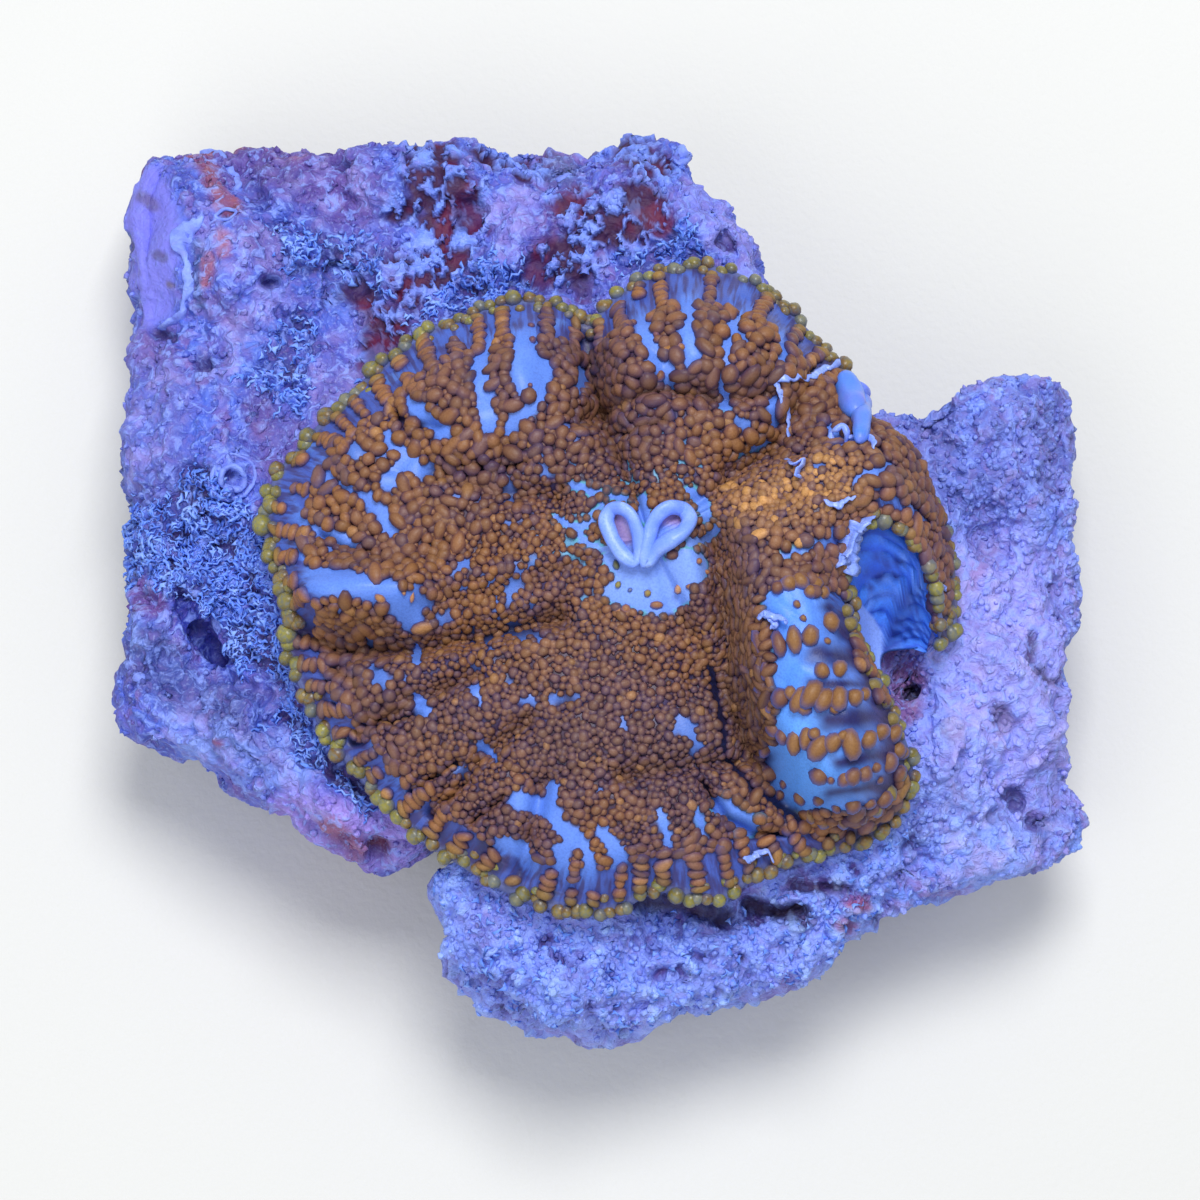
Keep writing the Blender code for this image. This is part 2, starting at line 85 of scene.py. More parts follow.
# The disc's lines, anticlockwise from the cleft at the back:
# rim x, rim y, rim lift, shoulder x, shoulder y, shoulder lift.
STATIONS = (
    (-1, 21.4, 2, -0.4, 16, 3.4), (-3.2, 23, 2.4, -2.8, 16.6, 5.6), (-6.4, 23.2, 2.4, -5.2, 16.2, 6.4),
    (-9.8, 22.4, 2.3, -7.8, 15.6, 6.4), (-13.2, 21, 2.2, -10.2, 14.6, 6),
    (-16.2, 18.8, 2, -12.6, 13.2, 5.6), (-19.2, 16, 2, -14.8, 11.6, 5.4), (-22.4, 12.6, 1.9, -16.8, 9.8, 5),
    (-24.8, 9.6, 1.8, -18.4, 7.4, 4.8), (-25.5, 6.2, 1.8, -19, 4.8, 4.6), (-24.8, 2.8, 2.1, -19, 2.2, 4.6),
    (-23.4, -0.6, 2.8, -18.2, -0.6, 5.4), (-23.6, -3.4, 1.6, -18, -3.6, 3.4),
    (-22.4, -6.8, 1.8, -16.8, -6.6, 4.2), (-20.2, -10.6, 1.8, -15, -9.2, 4.6),
    (-17.2, -14.2, 1.9, -12.6, -11.6, 4.8), (-13.8, -17.6, 2, -10, -14, 5), (-10.2, -20, 2, -7.2, -15.8, 5),
    (-6.8, -22, 2.1, -4.2, -17, 5.2), (-3, -23.4, 2.2, -1.4, -17.6, 5.4),
    (0.8, -23.6, 2.3, 1.4, -17.4, 5.4), (4.4, -22, 2.6, 4.2, -16.8, 5.2), (8.6, -22.8, 2.6, 7.2, -16.2, 5),
    (12, -20.6, 2.2, 10, -15.4, 4.2), (15.6, -19.6, 1.8, 12.8, -15.4, 4.6),
    (19.2, -18.4, 1.6, 15.2, -15, 8), (22.2, -16.4, 1.8, 17.2, -13.6, 9.8),
    (23.2, -13.2, 3, 17.6, -11, 10.6), (22.2, -10, 4.2, 17, -8, 10.8), (20.6, -6.6, 5.2, 15.8, -4.8, 10.6),
    (19, -3.2, 5.8, 14.6, -1.6, 10.2), (18.3, 0.4, 6.6, 14.4, 1.4, 9.8), (18.7, 3.4, 7.8, 15.6, 4.4, 9.8),
    (20.6, 4.7, 8.4, 18.2, 6.4, 9.8), (22.9, 3.6, 7.6, 19.6, 7.6, 9.8), (24.6, 1.4, 6.2, 20.2, 8.5, 9.6),
    (25.5, -1, 4.4, 20.6, 9.2, 9.3), (25.7, -3.4, 2.2, 20.9, 9.8, 9), (26.9, -1.8, 1.4, 21.1, 10.3, 8.6),
    (27, 1.8, 1.3, 21.2, 10.8, 8.2), (26.3, 5.6, 1.4, 21, 11.3, 7.6), (24.2, 9.4, 1.5, 20.2, 11.9, 7),
    (21.6, 12.2, 1.8, 18.4, 12.4, 6.4), (19.8, 15.4, 2.4, 16.4, 13.2, 5.4),
    (18.2, 18.4, 2.6, 14.6, 14.8, 6.6), (15.8, 21, 2.5, 12.8, 16.2, 7.2),
    (13.4, 23.8, 2.5, 10.6, 17.4, 7.6), (10.2, 25.6, 2.5, 8.4, 17.9, 7.8), (6.6, 26.2, 2.5, 6, 18, 7.8),
    (3.4, 25.2, 2.5, 3.8, 17.4, 7.4), (0.6, 23, 2.3, 1.6, 16.6, 6),
)
# Where the wall of the hollow at the right meets the stone, by station.
HOLLOW_FEET = {
    29: (21.6, -7.4), 30: (21.4, -5.4), 31: (21.4, -4.4), 32: (21.8, -3.9),
    33: (22.6, -3.7), 34: (23.4, -3.6), 35: (24.2, -3.5), 36: (24.9, -3.5),
}

# Grooves pressed into the disc: points along the groove, depth, half width.
CREASES = (
    (((-23, -2.2), (-19, -4), (-13, -4.2), (-7.6, -3), (-3, -2.2)), 2.4, 1),
    (((8.6, 3.2), (9.4, -1.6), (9.8, -7), (11.2, -11.2), (14, -15.4), (17.6, -17.9)), 3.4, 1.3),
    (((-0.9, 21.4), (-0.6, 17.6), (0.2, 14.4), (-1.2, 12.8)), 2.2, 1),
    (((0.8, 13.8), (4.6, 14.6), (7.6, 14.3), (10.4, 14.2), (12.6, 14.8)), 1.6, 0.8),
    (((16, 17), (14.6, 13.6), (12.8, 10.6), (9.6, 8.8)), 1.5, 1),
    (((-18.6, -11), (-14, -8.2), (-9.4, -6.6)), 1.4, 0.8),
    (((-12.4, -16.4), (-8.8, -12.6), (-5.4, -10)), 1.3, 0.8),
    (((-6, -21), (-4.8, -17.4), (-4.2, -14.4)), 1.2, 0.7),
    (((1.6, -14.2), (5.6, -13.4), (10, -12.8)), 1.3, 0.8), (((-12.4, 9), (-8, 7.4), (-3.2, 7)), 1, 0.9),
)
# Narrow furrows between the rows of beads, pressed into the disc and painted dark as shade.
FURROWS = (
    (((-19.8, -5.8), (-18.2, -6.9)), 1, 0.4), (((-17.4, -9), (-15.6, -10), (-13.8, -9.4)), 1, 0.35),
    (((-13.9, -14.9), (-12.2, -13.9), (-10.6, -12.9)), 1.2, 0.35),
    (((-12.2, -16.3), (-10.9, -15.4), (-9.8, -14.4)), 1.2, 0.3),
    (((-9.6, -17.3), (-8.2, -16.4), (-7, -15.5)), 1.2, 0.35),
    (((-15.8, 13.9), (-14.2, 12.4), (-12.2, 12.4)), 0.8, 0.4),
    (((-5.2, 9.6), (-8.2, 9), (-10.4, 9.6)), 0.9, 0.35), (((-0.6, 12.6), (2, 11.7), (5, 12.4)), 0.9, 0.35),
    (((7.6, -14.6), (9.4, -17.2), (11.4, -17.9), (13.6, -17.8)), 1.4, 0.4),
    (((-21, 4.6), (-19.4, 3.3), (-17.2, 2.8)), 0.9, 0.35),
)
# Swellings: from point, to point, height, radius.
SWELLINGS = (
    ((3.6, 3.4), (3.6, 3.4), 1.5, 4.4), ((2, 5.4), (1.8, 4.6), 0.5, 1), ((5.2, 5.6), (5, 4.8), 0.5, 1),
    ((-21.6, -0.2), (-15.2, -0.8), 2.4, 2.4), ((1.6, 18.6), (2.4, 15.6), 1.5, 2.2),
    ((6.4, 22), (7, 17.2), 0.9, 1.5), ((13, 20.4), (10.8, 16.6), 0.9, 1.5),
    ((-12.4, 16.6), (-10.6, 12.6), 1.1, 2.4), ((-6.6, 19.6), (-5.8, 14.4), 0.8, 1.6),
    ((-18.6, 10.4), (-17, 8.4), 0.9, 2), ((18.4, 16), (19.6, 13.8), 0.8, 1.2),
)
# Strips of smooth skin with no beads: points along the strip, half width.
BARE_STRIPS = (
    # mouth
    (((1.6, 3.2), (3, 2), (5.4, 1.6), (6.6, 2.4)), 1.4), (((1.2, 0.6), (4.4, -0.2), (6, 0.4)), 0.9),
    (((1.4, 6.2), (2.2, 4.6)), 0.9), (((5.8, 6.2), (4.6, 4.6)), 1.2), (((3.2, 7.6), (3.4, 6.4)), 0.35),
    (((-2.2, 8.8), (-0.6, 8.4), (0.8, 7.9), (2, 7.7)), 0.24), (((-0.8, 8.3), (0.2, 7.2), (-0.6, 6.6)), 0.2),
    (((6.8, 8.3), (7.7, 7.5), (8.1, 6.4)), 0.4), (((-3.4, 6.3), (-1.8, 5.5), (-0.6, 6)), 0.22),
    (((-1.8, 5.5), (-1.4, 4.6), (0.2, 3.8)), 0.2), (((6.9, 4.4), (8.2, 4.6), (8.8, 5.4)), 0.3),
    # back left lobe
    (((-12.3, 19.9), (-10, 20.2)), 0.4), (((-8.6, 22), (-8.5, 18.6)), 0.35),
    (((-5.8, 21.6), (-5.7, 19), (-5.8, 16.6)), 0.95), (((-9.2, 18), (-8.9, 16.2), (-8.5, 13.2)), 0.7),
    (((-4.2, 17.6), (-4.7, 15.4), (-5.8, 14.2), (-6.8, 13)), 0.55), (((-1.5, 17.6), (-1.5, 16.2)), 0.4),
    (((-14.6, 19.3), (-14.5, 17.4)), 0.3), (((-14.4, 15.1), (-13, 14), (-12, 12.7)), 0.5),
    (((-16.7, 13), (-15.4, 11.7), (-13.7, 10)), 0.45), (((-16, 9), (-15.2, 10)), 0.6),
    (((-21.6, 10.7), (-20.1, 8.9), (-18.7, 8.2)), 0.4), (((-17.9, 7.9), (-16.5, 6.8), (-16, 5.4)), 0.5),
    (((-24, 8.2), (-23.1, 6.4), (-21.4, 5.4), (-18.6, 4.2)), 0.42), (((-23.6, 4), (-22.4, 3.4)), 0.4),
    # finger fold
    (((-21.9, 1.5), (-18.7, 1.2), (-15.9, 0.4), (-14.5, -1.3)), 0.95),
    # back right lobe
    (((1.8, 23.1), (3, 21.8), (4, 19.1), (4.6, 17.6)), 0.62),
    (((6.7, 24.3), (6.8, 21.8), (6.6, 20.4), (6.8, 18.5)), 0.6), (((5.5, 18.1), (5.3, 16.4)), 0.4),
    (((10.6, 23.7), (10.3, 21.3), (9.7, 19.6), (9.4, 17), (9.5, 14.9)), 0.42),
    (((11.6, 23.2), (11.3, 22.4)), 0.45), (((13.9, 21.5), (13.8, 20), (13.7, 18.3)), 0.4),
    (((13.1, 15.2), (13.3, 13.4)), 0.35),
    # puffed lobe, whose rows of beads are listed one by one
    (((14.4, -0.4), (15.4, -4.6)), 1.9), (((17.2, -0.6), (18.2, -4.6)), 1.2),
    (((14.8, -6.6), (19, -6.8)), 1.7), (((14.8, -9.4), (20.8, -9.2)), 1.5),
    (((14.4, -12), (21.6, -11.4)), 1.8), (((14.8, -14.2), (20.6, -14)), 1.8),
    (((9.4, -15.7), (11.2, -16.9)), 0.85),
    # over the hollow
    (((14, 3.4), (16.2, 4.3), (18.4, 4.6)), 0.32), (((21.4, 7.6), (23, 7.2), (24.4, 6.2)), 0.3),
    (((17.4, 13.2), (18.4, 12), (20, 12.2)), 0.32), (((10.4, 11), (12.4, 12), (13.8, 12.5)), 0.2),
    (((19.4, 9.2), (20.6, 9.6)), 0.25),
    # front
    (((0.3, -17.6), (1.6, -19.6)), 0.5), (((4.6, -16.3), (5.3, -18.5)), 0.3),
    (((7.3, -16), (7.9, -17.6)), 0.3), (((-6.2, -15.2), (-3.9, -15.8), (-3, -17.2), (-1.4, -18.4)), 0.62),
    (((-3.7, -14.2), (-3.8, -16.2)), 0.4), (((-7.5, -18.6), (-5.8, -18.9), (-5.2, -20.4)), 0.6),
    (((-3, -19), (-2.7, -21.6)), 0.55), (((-0.9, -19.4), (-0.9, -21.6)), 0.35),
    (((-16, -13.2), (-15.1, -14.2)), 0.4), (((-9, -11.1), (-8.1, -11.9)), 0.35),
    (((-9.5, -6.7), (-9, -7.8)), 0.3), (((-13.9, -7.4), (-13.3, -8.5)), 0.4),
    (((-13.9, -3.6), (-13.9, -4.8)), 0.3),
)

# The stones' outlines.
LEFT_STONE = (
    (14.6, 26.6), (13.2, 29.8), (11.8, 33.2), (8.6, 35.2), (7.6, 38.4), (4.2, 40), (-3, 39.6),
    (-12.4, 40.2), (-22.8, 39.6), (-31, 40.2), (-37.4, 39.6), (-38.8, 33.4), (-37.8, 20), (-38.4, 9.2),
    (-37.8, -0.6), (-38.2, -8.2), (-35.2, -11), (-31.6, -12), (-29, -14), (-25.1, -15.8), (-23.6, -17.6),
    (-20.6, -19.2), (-17.3, -20.4), (-14, -19.8), (-10, -16.4), (-4.8, -12.2), (0.6, -7.8), (5.6, -2.8),
    (9.8, 2.6), (13, 9), (15.2, 15.6), (15.6, 21.6),
)
RIGHT_STONE = (
    (21, 16.6), (18.8, 10.4), (15.8, 3.8), (11.8, -2.8), (7, -8.2), (1.8, -12.8), (-3.6, -16.6),
    (-8.6, -19.2), (-12.6, -20.2), (-13, -22.6), (-12.4, -24.8), (-12.9, -27), (-10.8, -29), (-7.6, -31.2),
    (-3.7, -32.6), (2.5, -32.6), (5.6, -30.6), (10.9, -29.4), (15.2, -28.2), (17.9, -26.1), (20.8, -23.6),
    (26, -22.4), (31.1, -20), (35.9, -18.8), (37.9, -15), (37.4, -7), (38, 1), (37.5, 9.4), (38.4, 18.4),
    (34.6, 20.8), (30.5, 19.6), (26.2, 17.2),
)
# Pits and lumps in the stones' tops: x, y, radius, depth or height.
PITS = (
    (-30, -3, 2.6, 4.5), (-27.7, 9.6, 1.3, 1.8), (-18, 19.4, 3, 1.4), (-12, 27, 3, 1.5),
    (-2.6, 30, 3.4, 1.4), (-31.6, 22, 2.2, 1.6), (-24, -9.6, 2.2, 1.8), (22.8, -5.4, 2, 1.8),
    (12, -23.6, 3, 3.2), (4.6, -23.6, 2.4, 2.2), (31.8, -14.6, 2.2, 2), (24.6, -20.4, 1.8, 1.8),
    (31, 6.6, 2.6, 1.4),
)
LUMPS = (
    (-27.7, 9.6, 3, 1.6), (-31.4, 26.6, 2.2, 1.3), (-33.6, 16, 3.6, 1), (-22.4, 30, 3.4, 1.2),
    (-6.6, 33.4, 3, 1.4), (7, 33, 2.2, 1.6), (-28.4, -11, 3.6, 1.8), (-17.6, -17.6, 3.4, 1.6),
    (31, 13, 4, 1.4), (32.6, -4.6, 4, 1.2), (27.4, -13.4, 3, 1.2), (-3.6, -28.4, 4, 1.4),
    (-9.6, -24.6, 2.4, 1.2), (18.4, -23, 2.4, 1.2),
)
# Inset from the outline, share of the height, how much wear cuts into it.
STONE_SIDE = (
    (3, 1, 0.4), (1.1, 0.95, 1), (0.3, 0.85, 1.2), (0, 0.7, 1), (0.3, 0.53, 2.2), (1, 0.37, 3.4),
    (1.6, 0.21, 4), (3, 0.08, 4), (4.6, 0, 3.4),
)


# ---------------------------------------------------------------- geometry helpers
def smoothstep(value: Array | float, low: float, high: float) -> Array:
    """An S-shaped ramp, from 0 where the value is low to 1 where it is high."""
    share = np.clip((value - low) / (high - low), 0.0, 1.0)
    return share * share * (3.0 - 2.0 * share)


def closed_spline(knots: Array, at: Array) -> Array:
    """Points on the closed Catmull-Rom curve through some knots.

    Args:
        knots: One row a knot.
        at: Parameters, counted in knots.

    Returns:
        One row a parameter.
    """
    knots = np.asarray(knots, float)
    whole = np.floor(at).astype(int)
    part = (at - whole)[:, None]
    before, here, after, beyond = (knots[(whole + step) % len(knots)] for step in (-1, 0, 1, 2))
    return 0.5 * (
        2.0 * here
        + (after - before) * part
        + (2.0 * before - 5.0 * here + 4.0 * after - beyond) * part**2
        + (3.0 * here - before - 3.0 * after + beyond) * part**3
    )


def open_spline(knots: Array, count: int) -> Array:
    """Points spaced evenly in parameter on a smooth curve from the first knot to the last.

    Args:
        knots: The knots, one row each.
        count: How many points.

    Returns:
        The points.
    """
    knots = np.asarray(knots, float)
    padded = np.vstack([2 * knots[0] - knots[1], knots, 2 * knots[-1] - knots[-2]])
    return closed_spline(padded, np.linspace(1.0, len(knots) - 1e-6, count))


def running_length(steps: Array) -> Array:
    """Length of a path up to each of its points, from the lengths of its steps."""
    return np.concatenate([[0.0], np.cumsum(steps)])


def evenly_along(knots: Array, count: int) -> Array:
    """Parameters, counted in knots, of points spaced evenly along a closed curve.

    Args:
        knots: The curve's knots in plan.
        count: How many points.

    Returns:
        Their parameters.
    """
    fine = np.linspace(0.0, len(knots), 40 * len(knots) + 1)
    length = running_length(np.linalg.norm(np.diff(closed_spline(knots, fine), axis=0), axis=1))
    return np.interp(np.arange(count) / count * length[-1], length, fine)


def smoothed(path: Array, times: int, closed: bool) -> Array:
    """A path with its kinks taken out; an open one keeps its ends.

    Args:
        path: Its points.
        times: How often each is moved towards its neighbours.
        closed: Whether its ends meet.

    Returns:
        The new path.
    """
    for _ in range(times):
        mean = (np.roll(path, 1, axis=0) + 2.0 * path + np.roll(path, -1, axis=0)) / 4.0
        if not closed:
            mean[0], mean[-1] = path[0], path[-1]
        path = mean
    return path


def distance_to_line(plan: Array, points: Array) -> Array:
    """Distance in plan to a chain of straight segments.

    Args:
        plan: Points, one row each.
        points: The chain's corners.

    Returns:
        One distance a point.
    """
    nearest = np.full(len(plan), np.inf)
    for start, end in zip(points[:-1], points[1:]):
        start, along = np.array(start), np.subtract(end, start)
        share = np.clip((plan - start) @ along / max(along @ along, 1e-9), 0.0, 1.0)
        nearest = np.minimum(nearest, ((plan - start - share[:, None] * along) ** 2).sum(axis=1))
    return np.sqrt(nearest)


def near(plan: Array, line: tuple, reach: float, power: int = 2) -> Array:
    """How near each point is to a line: 1 on it, fading over its reach."""
    return np.exp(-((distance_to_line(plan, line) / reach) ** power))


def near_spot(plan: Array, x: float, y: float, reach: float) -> Array:
    """How near each point is to a spot: 1 on it, fading over its reach."""
    return np.exp(-(((plan - np.array((x, y))) ** 2).sum(axis=1) / reach**2))


def from_mouth(plan: Array) -> Array:
    """Distance in plan from the mouth."""
    return np.hypot(plan[:, 0] - MOUTH[0], plan[:, 1] - MOUTH[1])


def inside(plan: Array, outline: Array) -> Array:
    """Whether each point lies inside a closed outline.

    Args:
        plan: Points, one row each.
        outline: The outline's corners.

    Returns:
        One truth value a point.
    """
    x, y = plan[:, 0], plan[:, 1]
    found = np.zeros(len(plan), bool)
    for (x0, y0), (x1, y1) in zip(outline, np.roll(outline, -1, axis=0)):
        crosses = (y0 > y) != (y1 > y)
        if crosses.any():
            found ^= crosses & (x < (x1 - x0) * (y - y0) / (y1 - y0 + 1e-12) + x0)
    return found


def unit(vectors: Array) -> Array:
    """Each row scaled to length 1."""
    return vectors / np.maximum(np.linalg.norm(vectors, axis=-1), 1e-12)[..., None]


def raised(plan: Array, height: Array | float = 0.0) -> Array:
    """Plan points as 3-D points at a height."""
    return np.column_stack([plan, np.broadcast_to(height, len(plan))])


def swung(outward: Array, normal: Array, angle: Array) -> Array:
    """Directions swung round their normals by an angle each."""
    return np.cos(angle)[:, None] * outward + np.sin(angle)[:, None] * np.cross(normal, outward)


def rough(points: Array, wavelength: float, seed: int) -> Array:
    """The broad unevenness that the solids are cut with, about -1 to 1 at each point.

    Args:
        points: Points, one row each, mm.
        wavelength: Size of one hump, mm.
        seed: Which unevenness.

    Returns:
        One value a point.
    """
    shift = Vector((seed * 17.3, seed * 5.1, seed * 9.7))
    return np.array([1.7 * noise.noise(Vector(point) / wavelength + shift) for point in points])


def lattice(cell: Array, seed: int) -> Array:
    """A repeatable value from -1 to 1 for each whole-numbered cell.

    Args:
        cell: The cells, with x, y and z last.
        seed: Which values.

    Returns:
        One value a cell.
    """
    mixed = (cell[..., 0] * 73856093) ^ (cell[..., 1] * 19349663) ^ (cell[..., 2] * 83492791)
    mixed = (mixed ^ (seed * 2654435)) & 0x7FFFFFFF
    mixed = (mixed ^ (mixed >> 13)) * 1274126177 & 0x7FFFFFFFFFFF
    return ((mixed ^ (mixed >> 17)) & 0xFFFF) / 32767.5 - 1.0


def fine_noise(points: Array, size: float, seed: int, octaves: int = 1) -> Array:
    """Fine unevenness, from -1 to 1 at each point.

    Args:
        points: Points in space or in plan, one row each, mm.
        size: Size of the largest hump, mm.
        seed: Which unevenness.
        octaves: How many times it repeats at half the size.

    Returns:
        One value a point.
    """
    if points.shape[1] == 2:
        points = raised(points)
    total, weight, reach = np.zeros(len(points)), 1.0, 0.0
    for octave in range(octaves):
        at = points * (2.0**octave / size)
        whole = np.floor(at).astype(np.int64)
        part = at - whole
        part = part * part * (3.0 - 2.0 * part)
        for corner in itertools.product((0, 1), repeat=3):
            share = np.prod(np.where(corner, part, 1.0 - part), axis=1)
            total += weight * share * lattice(whole + corner, seed + octave)
        reach += weight
        weight *= 0.55
    return total / reach


def noises(points: Array, size: float, seeds: tuple, octaves: int = 1) -> Array:
    """Fine unevenness of several kinds, one column each."""
    return np.column_stack([fine_noise(points, size, seed, octaves) for seed in seeds])


def pebbles(points: Array, size: float, seed: int) -> tuple[Array, Array]:
    """Packs the surface with pebbles.

    Args:
        points: Points in space or in plan, one row each, mm.
        size: Spacing of the pebbles, mm.
        seed: Which packing.

    Returns:
        The distance to the nearest pebble's middle in spacings, and that pebble's own value from -1 to 1.
    """
    if points.shape[1] == 2:
        points = raised(points)
    at = points / size
    whole = np.floor(at).astype(np.int64)
    nearest, own = np.full(len(points), np.inf), np.zeros(len(points))
    for step in itertools.product((-1, 0, 1), repeat=3):
        cell = whole + step
        middle = cell + 0.5 + 0.42 * np.stack([lattice(cell, seed + k) for k in range(3)], axis=1)
        away = ((at - middle) ** 2).sum(axis=1)
        closer = away < nearest
        nearest, own = np.where(closer, away, nearest), np.where(closer, lattice(cell, seed + 9), own)
    return np.sqrt(nearest), own


def drawn(points: Array) -> Array:
    """Where points, in mm, fall in the drawing's plan.

    The plan was drawn looking at the middle of the object from DRAWN_FROM mm away and DRAWN_TILT off the
    vertical, so a high point lies further back in it than it stands.

    Args:
        points: Points, one row each, mm.

    Returns:
        Their places in the plan, mm.
    """
    x, y, z = points.T
    z = z - BED_HEIGHT
    closer = z * math.cos(DRAWN_TILT) - y * math.sin(DRAWN_TILT)
    scale = DRAWN_FROM / (DRAWN_FROM - closer)
    return np.column_stack([x, y * math.cos(DRAWN_TILT) + z * math.sin(DRAWN_TILT)]) * scale[:, None]


def bed(plan: Array) -> Array:
    """Height of the stones' common top, which the foot of the polyp fits."""
    return BED_HEIGHT - BED_FALL * ((plan - np.array(BED_MIDDLE)) ** 2).sum(axis=-1)


def linear(hex_value: str) -> Array:
    """Turns an sRGB hex value, such as "#6c91e1", to linear red, green and blue."""
    value = np.array([int(hex_value[i : i + 2], 16) / 255.0 for i in (1, 3, 5)])
    return np.where(value <= 0.04045, value / 12.92, ((value + 0.055) / 1.055) ** 2.4)


def blend(base: Array | str, *layers: tuple, count: int = 0) -> Array:
    """Mixes colours over some colours, one after the other.

    Args:
        base: Colours, one row each, linear, or the hex value of one colour for all of them.
        layers: A hex value and how much of it, one share a row or one for all, for each colour mixed in.
        count: How many rows there are, where base is a hex value.

    Returns:
        The mixed colours.
    """
    colour = np.tile(linear(base), (count, 1)) if isinstance(base, str) else base
    for hex_value, share in layers:
        share = np.clip(share, 0.0, 1.0)
        share = share[:, None] if np.ndim(share) else share
        colour = colour * (1.0 - share) + linear(hex_value) * share
    return colour


# ---------------------------------------------------------------- Blender helpers
def node(tree: Tree, kind: str, settings: dict | None = None, inputs: dict | None = None) -> bpy.types.Node:
    """Adds a node with its settings and links.

    Args:
        tree: The node tree.
        kind: The node's type.
        settings: Its properties.
        inputs: Its inputs by name or number, each a value or the socket to link from.

    Returns:
        The node.
    """
    made = tree.nodes.new(kind)
    for name, value in (settings or {}).items():
        setattr(made, name, value)
    feed(tree, made, inputs or {})
    return made


def feed(tree: Tree, target: bpy.types.Node, inputs: dict) -> None:
    """Gives a node's inputs, by name or number, their values or the sockets to link from.

    Args:
        tree: The node tree.
        target: The node.
        inputs: The values and sockets.
    """
    for name, value in inputs.items():
        if isinstance(value, Socket):
            tree.links.new(value, target.inputs[name])
        else:
            target.inputs[name].default_value = value


def add(tree: Tree, kind: str, settings: dict, inputs: dict, output: str | int = 0) -> Socket:
    """Adds a node, as node() does, and returns one of its outputs."""
    return node(tree, kind, settings, inputs).outputs[output]


def to_frame(points: Array) -> Array:
    """Points of the drawing, in mm, as points of the frame, in metres."""
    return (np.asarray(points, float) - np.array((*ORIGIN, 0.0))) * MM


def paint(mesh: Mesh, name: str, values: Array) -> None:
    """Stores a colour, as rows of three, or a number at each point of a mesh.

    Args:
        mesh: The mesh.
        name: What it is stored under.
        values: The colours or numbers, one a point.
    """
    if values.ndim == 2:
        layer = mesh.attributes.new(name, "FLOAT_COLOR", "POINT")
        layer.data.foreach_set("color", np.column_stack([values, np.ones(len(values))]).ravel())
    else:
        mesh.attributes.new(name, "FLOAT", "POINT").data.foreach_set("value", values)


def place(name: str, mesh: Mesh) -> Piece:
    """Links a mesh to the scene as a piece."""
    piece = bpy.data.objects.new(name, mesh)
    bpy.context.scene.collection.objects.link(piece)
    return piece


def closed_grid(name: str, rings: Array, first: Array, last: Array) -> Piece:
    """A closed mesh from rings of points, with a pole at each end.

    Args:
        name: The piece's name.
        rings: Rings, points and x, y, z, anticlockwise from the top pole to the bottom one, mm.
        first: The top pole.
        last: The bottom pole.

    Returns:
        The object, whose UV map "rings" runs round the rings in u and down them in v.
    """
    rows, columns = rings.shape[:2]
    here = np.arange(rows * columns).reshape(rows, columns)
    beside = np.roll(here, -1, axis=1)
    quads = np.stack([here[:-1], here[1:], beside[1:], beside[:-1]], axis=-1).reshape(-1, 4)
    top, bottom = rows * columns, rows * columns + 1
    caps = [(top, a, b) for a, b in zip(here[0].tolist(), beside[0].tolist())]
    caps += [(bottom, b, a) for a, b in zip(here[-1].tolist(), beside[-1].tolist())]
    mesh = bpy.data.meshes.new(name)
    mesh.from_pydata(to_frame(np.vstack([rings.reshape(-1, 3), first, last])), [], quads.tolist() + caps)
    mesh.shade_smooth()
    u, v = np.meshgrid(np.arange(columns), np.arange(rows - 1))
    across = np.stack([u, u, u + 1, u + 1], axis=-1).reshape(-1, 4) / columns
    down = np.stack([v, v + 1, v + 1, v], axis=-1).reshape(-1, 4) / (rows - 1)
    cap_u = np.arange(columns)
    for v_end, turn in ((0.0, 1), (1.0, -1)):
        sides = (cap_u, cap_u + 1)[::turn]
        across = np.append(across.ravel(), np.stack([cap_u + 0.5, *sides], axis=-1) / columns)
        down = np.append(down.ravel(), np.full(3 * columns, v_end))
    layer = mesh.uv_layers.new(name="rings")
    layer.data.foreach_set("uv", np.column_stack([across, down]).ravel())
    return place(name, mesh)


def tube(path: Array, radius: Array, sides: int, closed: bool) -> tuple[Array, list]:
    """A round tube along a path.

    Args:
        path: Points along its middle, mm.
        radius: One radius a point, or two, across and up, for a flat strand.
        sides: Points around it.
        closed: Whether its ends meet; open ends are closed with a cap.

    Returns:
        Its points and its faces.
    """
    count = len(path)
    ahead = np.roll(path, -1, axis=0) - np.roll(path, 1, axis=0)
    if not closed:
        ahead[0], ahead[-1] = path[1] - path[0], path[-1] - path[-2]
    ahead = unit(ahead)
    up = np.zeros_like(path)
    up[0] = np.cross(ahead[0], (0.3, 0.2, 1.0))
    for i in range(1, count):
        up[i] = up[i - 1]
        up[i] -= (up[i] @ ahead[i]) * ahead[i]
        up[i] /= np.linalg.norm(up[i])
    up = unit(up)
    side = np.cross(ahead, up)
    turn = 2.0 * np.pi * np.arange(sides) / sides
    wide, thick = (radius, radius) if radius.ndim == 1 else radius.T
    around = np.cos(turn)[None, :, None] * (wide[:, None] * up)[:, None]
    around = around + np.sin(turn)[None, :, None] * (thick[:, None] * side)[:, None]
    faces = []
    for i in range(count if closed else count - 1):
        a, b = i * sides, (i + 1) % count * sides
        for j in range(sides):
            k = (j + 1) % sides
            faces.append((a + j, a + k, b + k, b + j))
    if not closed:
        faces += [tuple(range(sides))[::-1], tuple(range((count - 1) * sides, count * sides))]
    return (path[:, None] + around).reshape(-1, 3), faces


